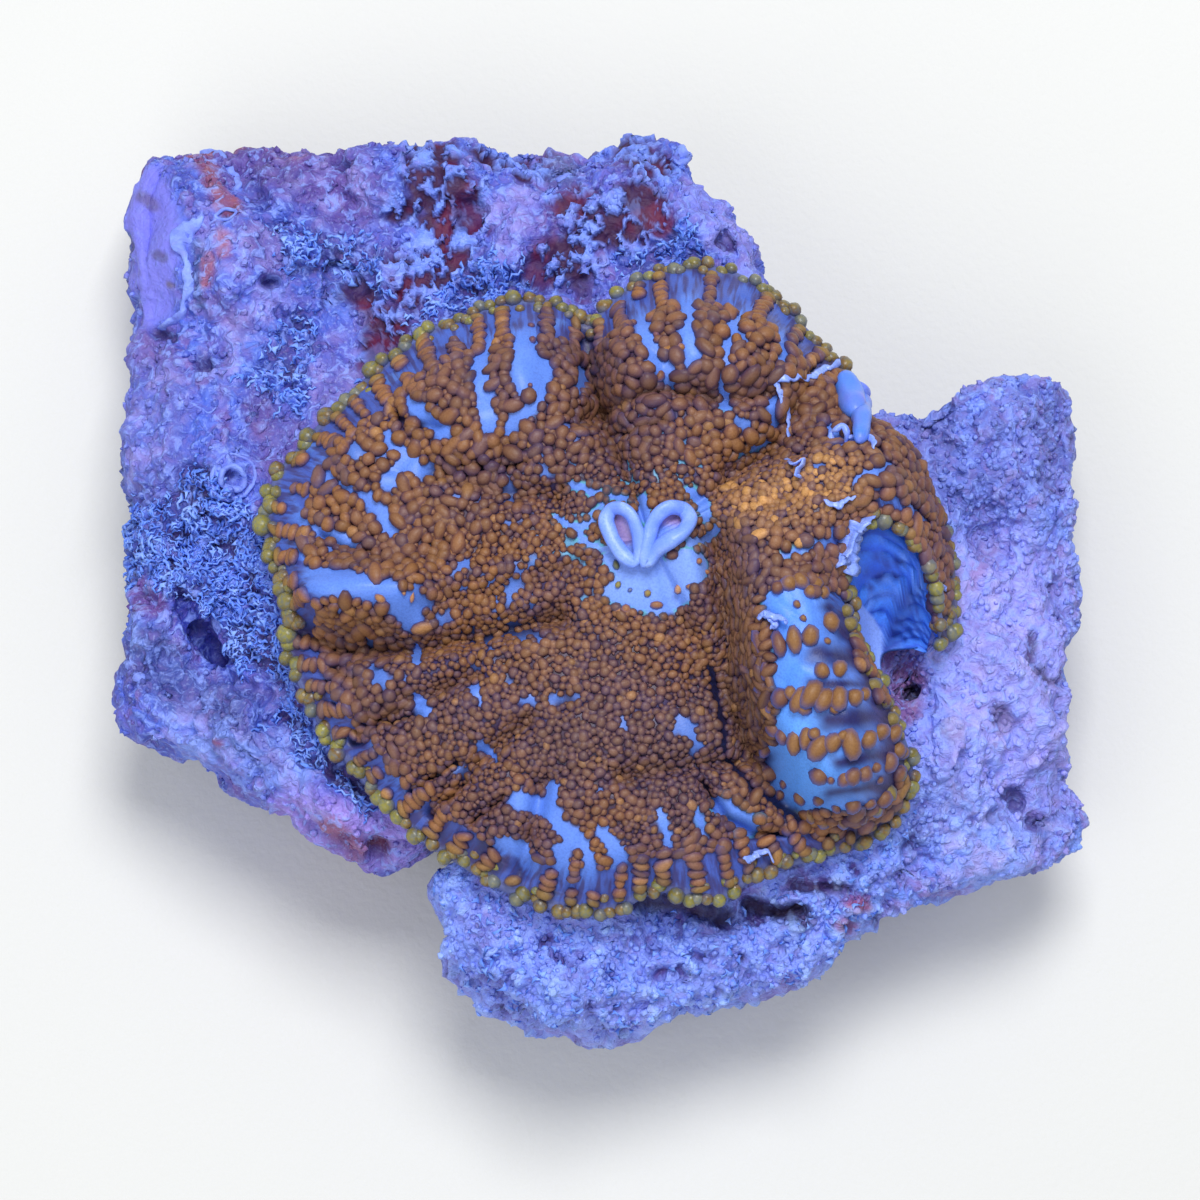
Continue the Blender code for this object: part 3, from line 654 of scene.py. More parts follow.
def mesh_of(name: str, points: Array, faces: list) -> Mesh:
    """A closed mesh, smooth shaded, with its faces turned outwards.

    Args:
        name: Its name.
        points: Its points, in metres.
        faces: Its faces, as numbers of points.

    Returns:
        The mesh.
    """
    mesh = bpy.data.meshes.new(name)
    mesh.from_pydata(points, [], faces)
    shape = bmesh.new()
    shape.from_mesh(mesh)
    bmesh.ops.recalc_face_normals(shape, faces=shape.faces)
    shape.to_mesh(mesh)
    shape.free()
    mesh.shade_smooth()
    return mesh


# ---------------------------------------------------------------- finishes
class Slot(Enum):
    """The finish slots."""

    POLYP = "polyp"
    LEFT = "left_rock"
    RIGHT = "right_rock"


def mixed(tree: Tree, base: Socket, *layers: tuple) -> Socket:
    """Mixes fixed colours over another, one after the other.

    Args:
        tree: The node tree.
        base: The socket of the colour below.
        layers: A hex value and the socket that says how much of it, for each colour mixed in.

    Returns:
        The mixed colour's socket.
    """
    for hex_value, share in layers:
        inputs = {"Factor": share, 6: base, 7: (*linear(hex_value), 1.0)}
        base = add(tree, "ShaderNodeMix", {"data_type": "RGBA"}, inputs, 2)
    return base


def ramp(tree: Tree, value: Socket, low: float, high: float, most: float = 1.0, least: float = 0.0) -> Socket:
    """A value mapped from low..high to least..most, and clamped."""
    inputs = {"Value": value, "From Min": low, "From Max": high, "To Min": least, "To Max": most}
    return add(tree, "ShaderNodeMapRange", {}, inputs)


def worked(tree: Tree, operation: str, *values: Socket | float) -> Socket:
    """The result of a sum on two or three values."""
    return add(tree, "ShaderNodeMath", {"operation": operation}, dict(enumerate(values)))


def stored(tree: Tree, name: str, output: str = "Fac") -> Socket:
    """What the mesh stores at its points under a name."""
    return add(tree, "ShaderNodeAttribute", {"attribute_name": name}, {}, output)


def noise_at(tree: Tree, where: Socket, scale: float, detail: float = 2.0, distortion: float = 0.0) -> Socket:
    """A noise with so many features a metre."""
    inputs = {"Vector": where, "Scale": scale, "Detail": detail, "Distortion": distortion}
    return add(tree, "ShaderNodeTexNoise", {}, inputs)


@dataclass(frozen=True)
class Finish:
    """What every finish shares: a name, and a principled shader that the finish's own nodes feed."""

    name: str

    def material(self) -> Material:
        """Builds the finish.

        Returns:
            The material.
        """
        made = bpy.data.materials.new(self.name)
        made.use_nodes = True
        tree = made.node_tree
        where = add(tree, "ShaderNodeTexCoord", {}, {}, "Object")
        feed(tree, tree.nodes["Principled BSDF"], self.shader_inputs(tree, where))
        return made

    def shader_inputs(self, tree: Tree, where: Socket) -> dict:
        """Adds the finish's nodes.

        Args:
            tree: The material's tree.
            where: The place on the object.

        Returns:
            The shader's inputs by name.
        """
        raise NotImplementedError


@dataclass(frozen=True)
class LivingTissue(Finish):
    """Wet coral tissue: soft and slightly see-through, with a fine grain from the algae cells inside it.

    The tint on the mesh gives the broad colour. Towards the base of a bead it gives way to the foot colour,
    partly tissue showing through and partly painted shade on the bead's sides, and a pale colour on its top
    is a painted highlight. Stripes across the margin are painted shade for the shadows in its radial grooves.
    The grain breaks the colours up at the size of cell clumps. Where beads touch, tissue between them rounds
    the seam.
    """

    grain_mm: float = 0.16
    grain_dark: str = "#2a2338"
    grain_share: float = 0.25
    # Painted highlight: a pale colour on the top of a bead.
    pale: str = "#c89a62"
    pale_highlight_share: float = 0.0
    roughness: float = 0.42
    coat: float = 0.15
    subsurface: float = 0.0
    bump_mm: float = 0.03
    # Painted shade: dark stripes on the margin that stand in for the shadows in its radial grooves.
    stripe_count: float = 0.0
    stripe_shade_hex: str = "#3c3266"
    # Heights where a bead's tint gives way to its foot colour, partly tissue showing through and partly
    # painted shade on its sides.
    foot_shade_from: float = -1.0
    foot_shade_to: float = 0.0
    seam_mm: float = 0.0

    def shader_inputs(self, tree: Tree, where: Socket) -> dict:
        """Adds the tint, the foot with painted shade, the painted highlight and groove shade, the grain and
        the seams.

        Args:
            tree: The material's tree.
            where: The place on the object.

        Returns:
            The shader's inputs by name.
        """
        colour = stored(tree, "tint", "Color")
        grain = noise_at(tree, where, PER_METRE / self.grain_mm, 3.0)
        # Painted shade: towards a bead's base its tint gives way to the foot colour, partly tissue showing
        # through and partly shade on its sides; the pale top is a painted highlight.
        if self.foot_shade_to > 0.0:
            height, foot = stored(tree, "height"), stored(tree, "foot", "Color")
            inputs = {"Value": height, "From Min": self.foot_shade_from, "From Max": self.foot_shade_to}
            rise = add(tree, "ShaderNodeMapRange", {"interpolation_type": "SMOOTHSTEP"}, inputs)
            inputs = {"Factor": rise, 6: foot, 7: colour}
            colour = add(tree, "ShaderNodeMix", {"data_type": "RGBA"}, inputs, 2)
            if self.pale_highlight_share:
                colour = mixed(tree, colour, (self.pale, ramp(tree, height, 0.8, 1.0, self.pale_highlight_share)))
        # Painted shade: dark stripes across the margin stand in for the shadows in its radial grooves.
        if self.stripe_count:
            rings = add(tree, "ShaderNodeUVMap", {"uv_map": "rings"}, {}, "UV")
            inputs = {"Vector": rings, "Scale": (self.stripe_count, 9.0, 1.0)}
            spread = add(tree, "ShaderNodeMapping", {}, inputs)
            lines, edge = noise_at(tree, spread, 1.0), stored(tree, "margin")
            share = worked(tree, "MULTIPLY", ramp(tree, lines, 0.45, 0.6, 0.8), edge)
            colour = mixed(tree, colour, (self.stripe_shade_hex, share))
        colour = mixed(tree, colour, (self.grain_dark, ramp(tree, grain, 0.56, 0.38, self.grain_share)))
        bumps = {"Height": grain, "Distance": self.bump_mm * MM, "Strength": 1.0}
        if self.seam_mm:
            bumps["Normal"] = add(tree, "ShaderNodeBevel", {"samples": 6}, {"Radius": self.seam_mm * MM})
        inputs = {
            "Base Color": colour,
            "Roughness": ramp(tree, grain, 0.0, 1.0, self.roughness + 0.12, self.roughness - 0.08),
            "Normal": add(tree, "ShaderNodeBump", {}, bumps),
            "IOR": 1.38,
            "Coat Weight": self.coat,
            "Coat Roughness": 0.25,
            "Coat IOR": 1.34,
        }
        if self.subsurface:
            inputs["Subsurface Weight"] = self.subsurface
            inputs["Subsurface Radius"] = (0.5, 0.6, 1.0)
            inputs["Subsurface Scale"] = 0.6 * MM
        return inputs


@dataclass(frozen=True)
class CorallineCrust(Finish):
    """Coralline algae crust and turf on limestone rubble: matt and chalky, mottled mauve and blue.

    The tint on the mesh carries the crust's patches, with painted shade in its hollows and pits and painted
    highlights on its crests. Raised crumbs are bluer and lighter, the lightness a painted highlight, the
    hollows between them are mauve, and a fine grain gives chalky specks and dark pores, their darkness
    painted shade.
    "laced" says how crumbly a crust is.
    """

    mottle_mm: float = 0.95
    cool: str = "#8ea8ff"
    cool_share: float = 0.6
    warm: str = "#7a58a0"
    warm_share: float = 0.28
    grain_mm: float = 0.28
    light: str = "#b4c4ff"
    light_share: float = 0.3
    dark: str = "#34408c"
    dark_share: float = 0.2
    bump_mm: float = 0.22
    roughness: float = 0.6

    def shader_inputs(self, tree: Tree, where: Socket) -> dict:
        """Adds the tint, the mottle and the relief of the crumbs and pores.

        Args:
            tree: The material's tree.
            where: The place on the object.

        Returns:
            The shader's inputs by name.
        """
        laced = stored(tree, "laced")
        mottle, fine = PER_METRE / self.mottle_mm, PER_METRE / self.grain_mm
        crumbs = noise_at(tree, where, mottle, 3.0, 0.9)
        stain = noise_at(tree, where, mottle / 3.0, 3.0, 0.6)
        grain = noise_at(tree, where, fine, 3.0)
        pores = noise_at(tree, where, fine / 2.2, 4.0, 0.5)

        def on_crumbly(value: Socket, low: float, high: float, most: float) -> Socket:
            """How much of a colour there is, which is less on smooth crust."""
            return worked(tree, "MULTIPLY", ramp(tree, value, low, high, most), laced)

        colour = mixed(
            tree,
            stored(tree, "tint", "Color"),
            (self.warm, on_crumbly(crumbs, 0.47, 0.36, self.warm_share)),
            (self.warm, on_crumbly(stain, 0.54, 0.66, self.warm_share * 0.7)),
            # Painted highlight: raised crumbs bluer and lighter.
            (self.cool, on_crumbly(crumbs, 0.53, 0.64, self.cool_share)),
            (self.light, on_crumbly(grain, 0.55, 0.72, self.light_share)),
            # Painted shade in the pores.
            (self.dark, ramp(tree, pores, 0.42, 0.32, self.dark_share)),
        )
        relief = worked(tree, "MULTIPLY", crumbs, ramp(tree, laced, 0.0, 1.0, 2.4, 0.5))
        relief = worked(tree, "MULTIPLY_ADD", grain, 0.4, relief)
        relief = worked(tree, "MULTIPLY_ADD", pores, 0.7, relief)
        bumps = {"Height": relief, "Distance": self.bump_mm * MM, "Strength": 1.0}
        return {
            "Base Color": colour,
            "Roughness": ramp(tree, pores, 0.0, 1.0, self.roughness - 0.1, self.roughness + 0.2),
            "Normal": add(tree, "ShaderNodeBump", {}, bumps),
            "IOR": 1.45,
        }


@dataclass(frozen=True)
class TurfTuft(Finish):
    """Fine turf algae bleached by the light: matt, pale blue at the tips, darker where blades are dense."""

    pale: str = "#8cb0ff"
    middle: str = "#6a94f8"
    dense: str = "#4668d0"
    tips: str = "#b0c2ff"

    def shader_inputs(self, tree: Tree, where: Socket) -> dict:
        """Adds the clumps and the fibres.

        Args:
            tree: The material's tree.
            where: The place on the object.

        Returns:
            The shader's inputs by name.
        """
        clump, fibre = noise_at(tree, where, 420.0), noise_at(tree, where, 3200.0)
        base = add(tree, "ShaderNodeRGB", {}, {})
        base.default_value = (*linear(self.middle), 1.0)
        colour = mixed(
            tree,
            base,
            (self.dense, ramp(tree, clump, 0.44, 0.34, 0.8)),
            (self.pale, ramp(tree, clump, 0.5, 0.62, 0.85)),
            (self.tips, ramp(tree, fibre, 0.5, 0.7, 0.4)),
        )
        return {"Base Color": colour, "Roughness": 0.8, "IOR": 1.4}


@dataclass(frozen=True)
class StudioFloor(Finish):
    """Matt painted board: pale and even, with a faint tooth."""

    colour: str = "#d9d9d6"

    def shader_inputs(self, tree: Tree, where: Socket) -> dict:
        """Adds the tooth.

        Args:
            tree: The material's tree.
            where: The place on the object.

        Returns:
            The shader's inputs by name.
        """
        inputs = {"Height": noise_at(tree, where, 1500.0), "Distance": 0.05 * MM}
        bump = add(tree, "ShaderNodeBump", {}, inputs)
        return {"Normal": bump, "Base Color": (*linear(self.colour), 1.0), "Roughness": 0.9}


def finish_piece(piece: Piece, finish: Finish | None, slot: Slot, *nodes: str) -> None:
    """Dresses a piece and ties it to the frame.

    Args:
        piece: The piece.
        finish: Its finish, or None where it has one.
        slot: Not used.
        nodes: The solids that it stands for.
    """
    if finish:
        piece.data.materials.clear()
        piece.data.materials.append(finish.material())
    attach(piece, BODY)
    if nodes:
        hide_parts(*nodes)
    triangles = sum(len(polygon.vertices) - 2 for polygon in piece.data.polygons)
    LOG.info("%s: %d triangles", piece.name, triangles)


def strands(
    name: str,
    parts: list[tuple],
    base: str,
    other: str,
    streaks: Callable[[Array], Array],
    finish: Finish,
    slot: Slot = Slot.POLYP,
) -> Piece:
    """Builds one piece from several tubes, paints it in two colours and ties it to the frame.

    Args:
        name: The piece's name.
        parts: The points, in mm, and the faces of each tube.
        base: Its colour.
        other: The colour mixed over it.
        streaks: Gives the share of the other colour at some points.
        finish: Its finish.
        slot: The slot that it belongs to.

    Returns:
        The piece.
    """
    faces, start = [], 0
    for shape, own_faces in parts:
        faces += [tuple(start + i for i in face) for face in own_faces]
        start += len(shape)
    points = np.vstack([shape for shape, _ in parts])
    piece = place(name, mesh_of(name, to_frame(points), faces))
    paint(piece.data, "tint", blend(base, (other, streaks(points)), count=len(points)))
    finish_piece(piece, finish, slot)
    return piece


# ---------------------------------------------------------------- planting by geometry nodes
class Planter:
    """Plants copies of a small shape, with geometry nodes, on given points or scattered over a surface."""

    def __init__(self, scattered: bool) -> None:
        """Builds the tree.

        Args:
            scattered: True to scatter over a surface, False to plant on the points of a mesh.
        """
        self.tree = bpy.data.node_groups.new("scatter" if scattered else "plant", "GeometryNodeTree")
        sockets = [("Geometry", "Geometry"), ("Shape", "Object"), ("Finish", "Material"), ("Seed", "Int")]
        sockets += [(name, "Float") for name in ("Spacing", "Smallest", "Largest", "Sway")]
        for name, kind in sockets:
            self.tree.interface.new_socket(name, in_out="INPUT", socket_type="NodeSocket" + kind)
        self.tree.interface.new_socket("Geometry", in_out="OUTPUT", socket_type="NodeSocketGeometry")
        given = node(self.tree, "NodeGroupInput").outputs
        points, turn, size = self.scattering(given) if scattered else self.planting(given)
        shape = self.add("GeometryNodeObjectInfo", {}, {"Object": given["Shape"]}, "Geometry")
        spots = {"Points": points, "Instance": shape, "Rotation": turn, "Scale": size}
        copies = self.add("GeometryNodeInstanceOnPoints", {}, spots)
        real = self.add("GeometryNodeRealizeInstances", {}, {"Geometry": copies})
        dressed = self.add("GeometryNodeSetMaterial", {}, {"Geometry": real, "Material": given["Finish"]})
        node(self.tree, "NodeGroupOutput", {}, {"Geometry": dressed})

    def add(self, kind: str, settings: dict, inputs: dict, output: str | int = 0) -> Socket:
        """Adds a node to the planter's tree and returns one of its outputs."""
        return add(self.tree, kind, settings, inputs, output)

    def named(self, name: str, kind: str) -> Socket:
        """What the mesh stores under a name."""
        return self.add("GeometryNodeInputNamedAttribute", {"data_type": kind}, {"Name": name}, "Attribute")

    def planting(self, given: bpy.types.NodeOutputs) -> tuple:
        """Points with their own turn and size, from the mesh's attributes.

        Args:
            given: The tree's inputs.

        Returns:
            The points, their turns and their sizes.
        """
        turn, size = (self.named(name, "FLOAT_VECTOR") for name in ("turn", "size"))
        wanted = self.add("FunctionNodeEulerToRotation", {}, {"Euler": turn})
        return given["Geometry"], self.swayed(given, wanted), size

    def scattering(self, given: bpy.types.NodeOutputs) -> tuple:
        """Points spread evenly wherever the surface's "grow" attribute allows them.

        Args:
            given: The tree's inputs.

        Returns:
            The points, their turns and their sizes.
        """
        spacing = {
            "Mesh": given["Geometry"],
            "Distance Min": given["Spacing"],
            "Density Max": 9.0e7,
            "Density Factor": self.named("grow", "FLOAT"),
            "Seed": given["Seed"],
        }
        method = {"distribute_method": "POISSON"}
        spread = node(self.tree, "GeometryNodeDistributePointsOnFaces", method, spacing).outputs
        size = self.random("FLOAT", given["Smallest"], given["Largest"], given["Seed"], 1)
        return spread["Points"], self.swayed(given, spread["Rotation"]), size

    def random(self, kind: str, least: Socket, most: Socket, seed: Socket, output: int) -> Socket:
        """A random value for each point."""
        inputs = {"Min": least, "Max": most, "Seed": seed}
        return self.add("FunctionNodeRandomValue", {"data_type": kind}, inputs, output)

    def swayed(self, given: bpy.types.NodeOutputs, turn: Socket) -> Socket:
        """A turn with a random tilt of up to "Sway" added, and a random spin of up to three times that.

        Args:
            given: The tree's inputs.
            turn: The turn.

        Returns:
            The new turn.
        """
        parts = {
            axis: worked(self.tree, "MULTIPLY", given["Sway"], times)
            for axis, times in (("X", 1.0), ("Y", 1.0), ("Z", 3.0))
        }
        most = self.add("ShaderNodeCombineXYZ", {}, parts)
        least = self.add("ShaderNodeVectorMath", {"operation": "SCALE"}, {0: most, "Scale": -1.0})
        euler = {"Euler": self.random("FLOAT_VECTOR", least, most, given["Seed"], 0)}
        both = {"Rotation": turn, "Rotate By": self.add("FunctionNodeEulerToRotation", {}, euler)}
        return self.add("FunctionNodeRotateRotation", {"rotation_space": "LOCAL"}, both)

    def grow(self, name: str, ground: Mesh, uneven: float, **values: object) -> Piece:
        """Plants, and turns the result into a plain mesh.

        Args:
            name: The piece's name.
            ground: The mesh to plant on.
            uneven: How far the copies' surfaces are pushed in and out, mm, so that no two are alike.
            values: The tree's inputs by name.

        Returns:
            The piece, with no modifier left.
        """
        holder = place(name, ground)
        modifier = holder.modifiers.new("plant", "NODES")
        modifier.node_group = self.tree
        for item in self.tree.interface.items_tree:
            if item.in_out == "INPUT" and item.name in values:
                modifier[item.identifier] = values[item.name]
        graph = bpy.context.evaluated_depsgraph_get()
        grown = bpy.data.meshes.new_from_object(holder.evaluated_get(graph), depsgraph=graph)
        holder.modifiers.remove(modifier)
        holder.data = grown
        grown.name = name
        grown.shade_smooth()
        points, normals = np.empty((2, 3 * len(grown.vertices)))
        grown.vertices.foreach_get("co", points)
        grown.vertex_normals.foreach_get("vector", normals)
        points = points.reshape(-1, 3)
        push = uneven * MM * fine_noise(points / MM, 0.55, 70, 2)
        grown.vertices.foreach_set("co", (points + push[:, None] * normals.reshape(-1, 3)).ravel())
        bpy.data.meshes.remove(ground)
        return holder


def knob(name: str, sides: int, profile: tuple) -> Piece:
    """A low, closed, rounded knob to plant.

    Args:
        name: Its name.
        sides: Points in each ring.
        profile: Radius and height of each ring, from the bottom up, in the knob's own radii.

    Returns:
        An object out of the scene, with its height from 0 to 1 in "height".
    """
    turn = 2.0 * np.pi * np.arange(sides) / sides
    rings = [raised(r * np.column_stack([np.cos(turn), np.sin(turn)]), z) for r, z in profile]
    low, high = profile[0][1] - 0.12, 1.0
    points = np.vstack([*rings, (0.0, 0.0, low), (0.0, 0.0, high)])
    faces, last = [], len(profile) - 1
    for j in range(sides):
        k = (j + 1) % sides
        for i in range(last):
            faces.append((i * sides + j, i * sides + k, (i + 1) * sides + k, (i + 1) * sides + j))
        faces += [(len(points) - 2, k, j), (len(points) - 1, last * sides + j, last * sides + k)]
    mesh = mesh_of(name, points * MM, faces)
    paint(mesh, "height", (points[:, 2] - low) / (high - low))
    return bpy.data.objects.new(name, mesh)


def flake(name: str, corners: int, seed: int, slim: float, waist: float) -> Piece:
    """A thin ragged flake of crust, closed, about 1 mm long, to plant.

    Args:
        name: Its name.
        corners: Points round its edge.
        seed: Which flake.
        slim: Its width in lengths.
        waist: How far out every second corner lies, as a share of the others.

    Returns:
        An object out of the scene.
    """
    rng = np.random.default_rng(seed)
    turn = 2.0 * np.pi * (np.arange(corners) + 0.35 * rng.random(corners)) / corners
    reach = 0.5 * np.where(np.arange(corners) % 2, waist, 1.0) * (0.6 + 0.8 * rng.random(corners))
    ruffle = 0.12 * rng.standard_normal(corners)
    edge = np.column_stack([reach * np.cos(turn), slim * reach * np.sin(turn), ruffle])
    above = np.vstack([edge + (0, 0, 0.06), (0.0, 0.0, 0.17)])
    below = np.vstack([edge * (0.9, 0.9, 1.0) - (0, 0, 0.05), (0.0, 0.0, 0.0)])
    faces, under = [], corners + 1
    for j in range(corners):
        k = (j + 1) % corners
        faces += [(corners, j, k), (under + corners, under + k, under + j), (j, under + j, under + k, k)]
    return bpy.data.objects.new(name, mesh_of(name, np.vstack([above, below]) * MM, faces))


def curl(name: str, line: tuple, girth: float) -> Piece:
    """A short bent thread of turf, closed, about 1 mm long and pointed at both ends, to plant.

    Args:
        name: Its name.
        line: Places along its middle, mm.
        girth: Its half thickness in the middle, mm.

    Returns:
        An object out of the scene.
    """
    shape, faces = tube(np.array(line), girth * np.array((0.5, 1.0, 0.85, 1.0, 0.4)), 3, False)
    return bpy.data.objects.new(name, mesh_of(name, shape * MM, faces))


def crumb(name: str, seed: int) -> Piece:
    """An irregular crumb of crust with twenty faces, about 1 mm across, to plant.

    Args:
        name: Its name.
        seed: Which crumb.

    Returns:
        An object out of the scene.
    """
    rng = np.random.default_rng(seed)
    mesh = bpy.data.meshes.new(name)
    form = bmesh.new()
    bmesh.ops.create_icosphere(form, subdivisions=1, radius=0.5 * MM)
    for corner in form.verts:
        corner.co *= 0.7 + 0.6 * rng.random()
        corner.co.z *= 0.8
    form.to_mesh(mesh)
    form.free()
    return bpy.data.objects.new(name, mesh)


# ---------------------------------------------------------------- polyp
# Beads that stand alone: x, y, half width, stretch, direction in degrees, tint.
LONE_BEADS = (
    (-5.1, 20.8, 0.32, 1, 0, "#5e3a50"), (-5.1, 19.8, 0.34, 1, 0, "#5e3a50"),
    (-5.3, 16.3, 0.22, 1, 0, "#6a4450"), (-16.2, 2.5, 0.3, 1.7, 10, "#4e4a3c"),
    (-18.4, 8.5, 0.3, 1.3, 0, "#4a3034"), (4.2, 20.2, 0.34, 1, 0, "#6a3e50"),
    (4.6, 17.1, 0.33, 1.7, 75, "#6c4038"), (6.2, 18.4, 0.34, 1, 0, "#96643a"),
    (5.2, 19.2, 0.5, 1.1, 30, "#a06c38"), (6.2, 19.2, 0.33, 1, 0, "#96643a"),
    (-15.3, 1.6, 0.17, 3, -50, "#a8744c"), (-14.8, 1, 0.17, 3.2, -58, "#c08850"),
    (-14.3, 0.3, 0.17, 3, -68, "#a8744c"), (-16.6, 0.2, 0.3, 1.6, -60, "#9c6a40"),
    (1.3, 2.8, 0.28, 1.5, -60, "#66704a"), (1.4, 1.2, 0.27, 1.2, 80, "#8a8440"),
    (2.3, 0.9, 0.2, 1, 0, "#5a6ca0"), (3.65, 0.3, 0.27, 1.2, 90, "#94803c"),
    (4.3, -0.3, 0.3, 1.7, 20, "#8a5c40"), (5.85, 1, 0.3, 1.4, 70, "#b8865a"),
    (6.85, 1, 0.28, 1.1, 0, "#8e5e3c"), (7.6, 4.1, 0.25, 1.1, 0, "#7a7050"),
    (7.45, 2.9, 0.26, 1, 0, "#96623c"), (8.1, 3.6, 0.28, 1.3, 40, "#96623c"),
    (8.1, 2.1, 0.3, 1.1, 0, "#96623c"), (2, -0.7, 0.3, 1.2, 30, "#96623c"),
    (2.6, -1, 0.28, 1, 0, "#8e5e3c"), (1.5, -1, 0.3, 1, 0, "#96623c"),
)
# The rows of beads on the puffed lobe, from back to front: x, y, half width, stretch, direction in degrees.
LOBE_BEADS = (
    (14.4, 1.3, 0.5, 1.2, 0), (15.3, 1.5, 0.5, 1.3, 150), (16.3, 1.2, 0.45, 1.1, 0),
    (15.9, 0.6, 0.42, 1, 0), (15, -0.35, 0.28, 1, 0), (15.4, -1.4, 0.28, 1, 0), (13.5, 1, 0.4, 1.2, 70),
    (17, 0.6, 0.4, 1.2, 0), (12.1, -3.5, 0.42, 2.6, 80), (13.5, -3.3, 0.45, 2.1, 85),
    (14.8, -3, 0.45, 2.1, 108), (16, -2.65, 0.5, 1.4, 115), (17.4, -1.8, 0.58, 1.25, 100),
    (12.9, -2.2, 0.3, 1.4, 80), (17.3, -3.1, 0.26, 1.2, 0), (16.95, -5.4, 0.5, 1, 0),
    (18.2, -5.3, 0.54, 1, 0), (12.5, -5.2, 0.34, 2.2, 85), (12.3, -6.6, 0.4, 1.6, 80),
    (13.7, -7.4, 0.64, 1, 0), (15.1, -7.5, 0.52, 1.9, 84), (16.05, -7.2, 0.62, 1.7, 95),
    (17.05, -7.7, 0.55, 1.6, 84), (18.2, -7.6, 0.56, 1.6, 100), (19.3, -7.4, 0.54, 1.2, 80),
    (15.6, -8.2, 0.42, 1.2, 0), (16.6, -8.2, 0.42, 1, 0), (14.55, -7, 0.4, 1.2, 90),
    (17.7, -8.3, 0.36, 1, 0), (20.1, -7.3, 0.4, 1.2, 60), (13.1, -8.2, 0.3, 1.6, 90),
    (13.2, -9.7, 0.44, 1.5, 100), (13.9, -10.3, 0.38, 1.5, 95), (14.6, -10.8, 0.46, 1.9, 95),
    (15.6, -10.5, 0.4, 2.1, 90), (16.6, -11.2, 0.62, 1.6, 92), (17.7, -10.9, 0.52, 1.4, 88),
    (19.1, -10.8, 0.6, 1.8, 90), (20.4, -10.7, 0.52, 1.3, 80), (21.4, -10, 0.5, 1.4, 60),
    (22.3, -10.2, 0.5, 1.4, 60), (16.2, -10.2, 0.4, 1, 0), (18.4, -10.3, 0.36, 1, 0),
    (12.8, -13.3, 0.55, 1.3, 10), (13.9, -14, 0.26, 1.4, 90), (16.7, -13.3, 0.6, 1.1, 0),
    (17.6, -13.6, 0.3, 1, 0), (18.4, -13.6, 0.42, 1.4, 90), (19.2, -13.4, 0.56, 1, 0),
    (20.1, -13.2, 0.46, 1.2, 90), (20.9, -12.9, 0.34, 1.1, 0), (21.9, -12.5, 0.54, 1.3, 70),
    (22.6, -11.6, 0.5, 1.2, 60), (22.8, -13.1, 0.42, 1.2, 40), (21.2, -13.9, 0.3, 1, 0),
    (15.1, -15.05, 0.36, 1.6, 85), (16.6, -15.3, 0.38, 1.1, 0), (18.05, -15.7, 0.34, 1, 0),
    (19.2, -15.6, 0.54, 1.05, 0), (20.4, -15.6, 0.36, 1.2, 0), (21.5, -15.1, 0.56, 1.2, 30),
    (13.6, -14.9, 0.3, 1.4, 60), (12.6, -11.3, 0.36, 1.9, 85),
)
# The chain of fused beads along the lobe's rim, laid out in the same way.
RIM_CHAIN = (
    (18.5, 0.3, 0.56, 1.2, 0), (18.7, -0.8, 0.58, 1.1, 20), (18.9, -1.9, 0.6, 1.2, 10),
    (19.3, -3, 0.56, 1.1, 0), (19.8, -4.1, 0.62, 1.2, 20), (20.3, -5.3, 0.58, 1.1, 0),
    (20.8, -6.5, 0.62, 1.2, 20), (21.5, -7.8, 0.6, 1.1, 10), (22.2, -9.1, 0.6, 1.2, 20),
    (22.9, -11.6, 0.56, 1.3, 0), (22.8, -13.2, 0.58, 1.2, 0), (22, -14.6, 0.6, 1.2, -40),
    (20.9, -15.9, 0.56, 1.3, -60), (19.7, -16.5, 0.6, 1.3, -80), (18.4, -16.8, 0.56, 1.4, 90),
    (17.1, -16.7, 0.58, 1.3, 80), (15.9, -16.4, 0.5, 1.4, 75),
)
# The deep shadow under the lobe's left and front edge.
LOBE_SHADE = (
    (8.3, -5.2), (8.9, -7.7), (9.6, -12.1), (11.1, -13.8), (13.3, -15.6), (15, -16.6),
)
# Painted shade: soft purple bands between those rows, towards the rim: points along the band, half width.
LOBE_SHADE_BANDS = (
    (((16.4, -4), (20, -4.6)), 0.7), (((16, -6.4), (20.6, -6.4)), 0.4),
    (((17.4, -9.1), (22.4, -8.8)), 0.75), (((18.2, -12.3), (23, -11.6)), 0.55),
    (((17.4, -14.7), (22.4, -14)), 0.45), (((17.4, -0.6), (18.6, -2.6)), 0.5),
    (((12.6, -12), (12.2, -14.4), (14.6, -16.4)), 0.5),
)
# The beads of that chain, by number, that are browner than the rest.
BROWN_RIM_BEADS = (9, 13, 14, 15, 16)
# Dimples in the wall of the hollow: x, y, reach.
HOLLOW_DIMPLES = (
    (20.95, 3.3, 0.42), (21.8, 2.6, 0.45), (21.2, 1.8, 0.5), (20.2, 2.3, 0.4), (22.6, 3, 0.4),
    (23.1, 0, 0.5), (24, -0.9, 0.5), (22.4, 1.7, 0.35), (20.6, 0.9, 0.35),
)
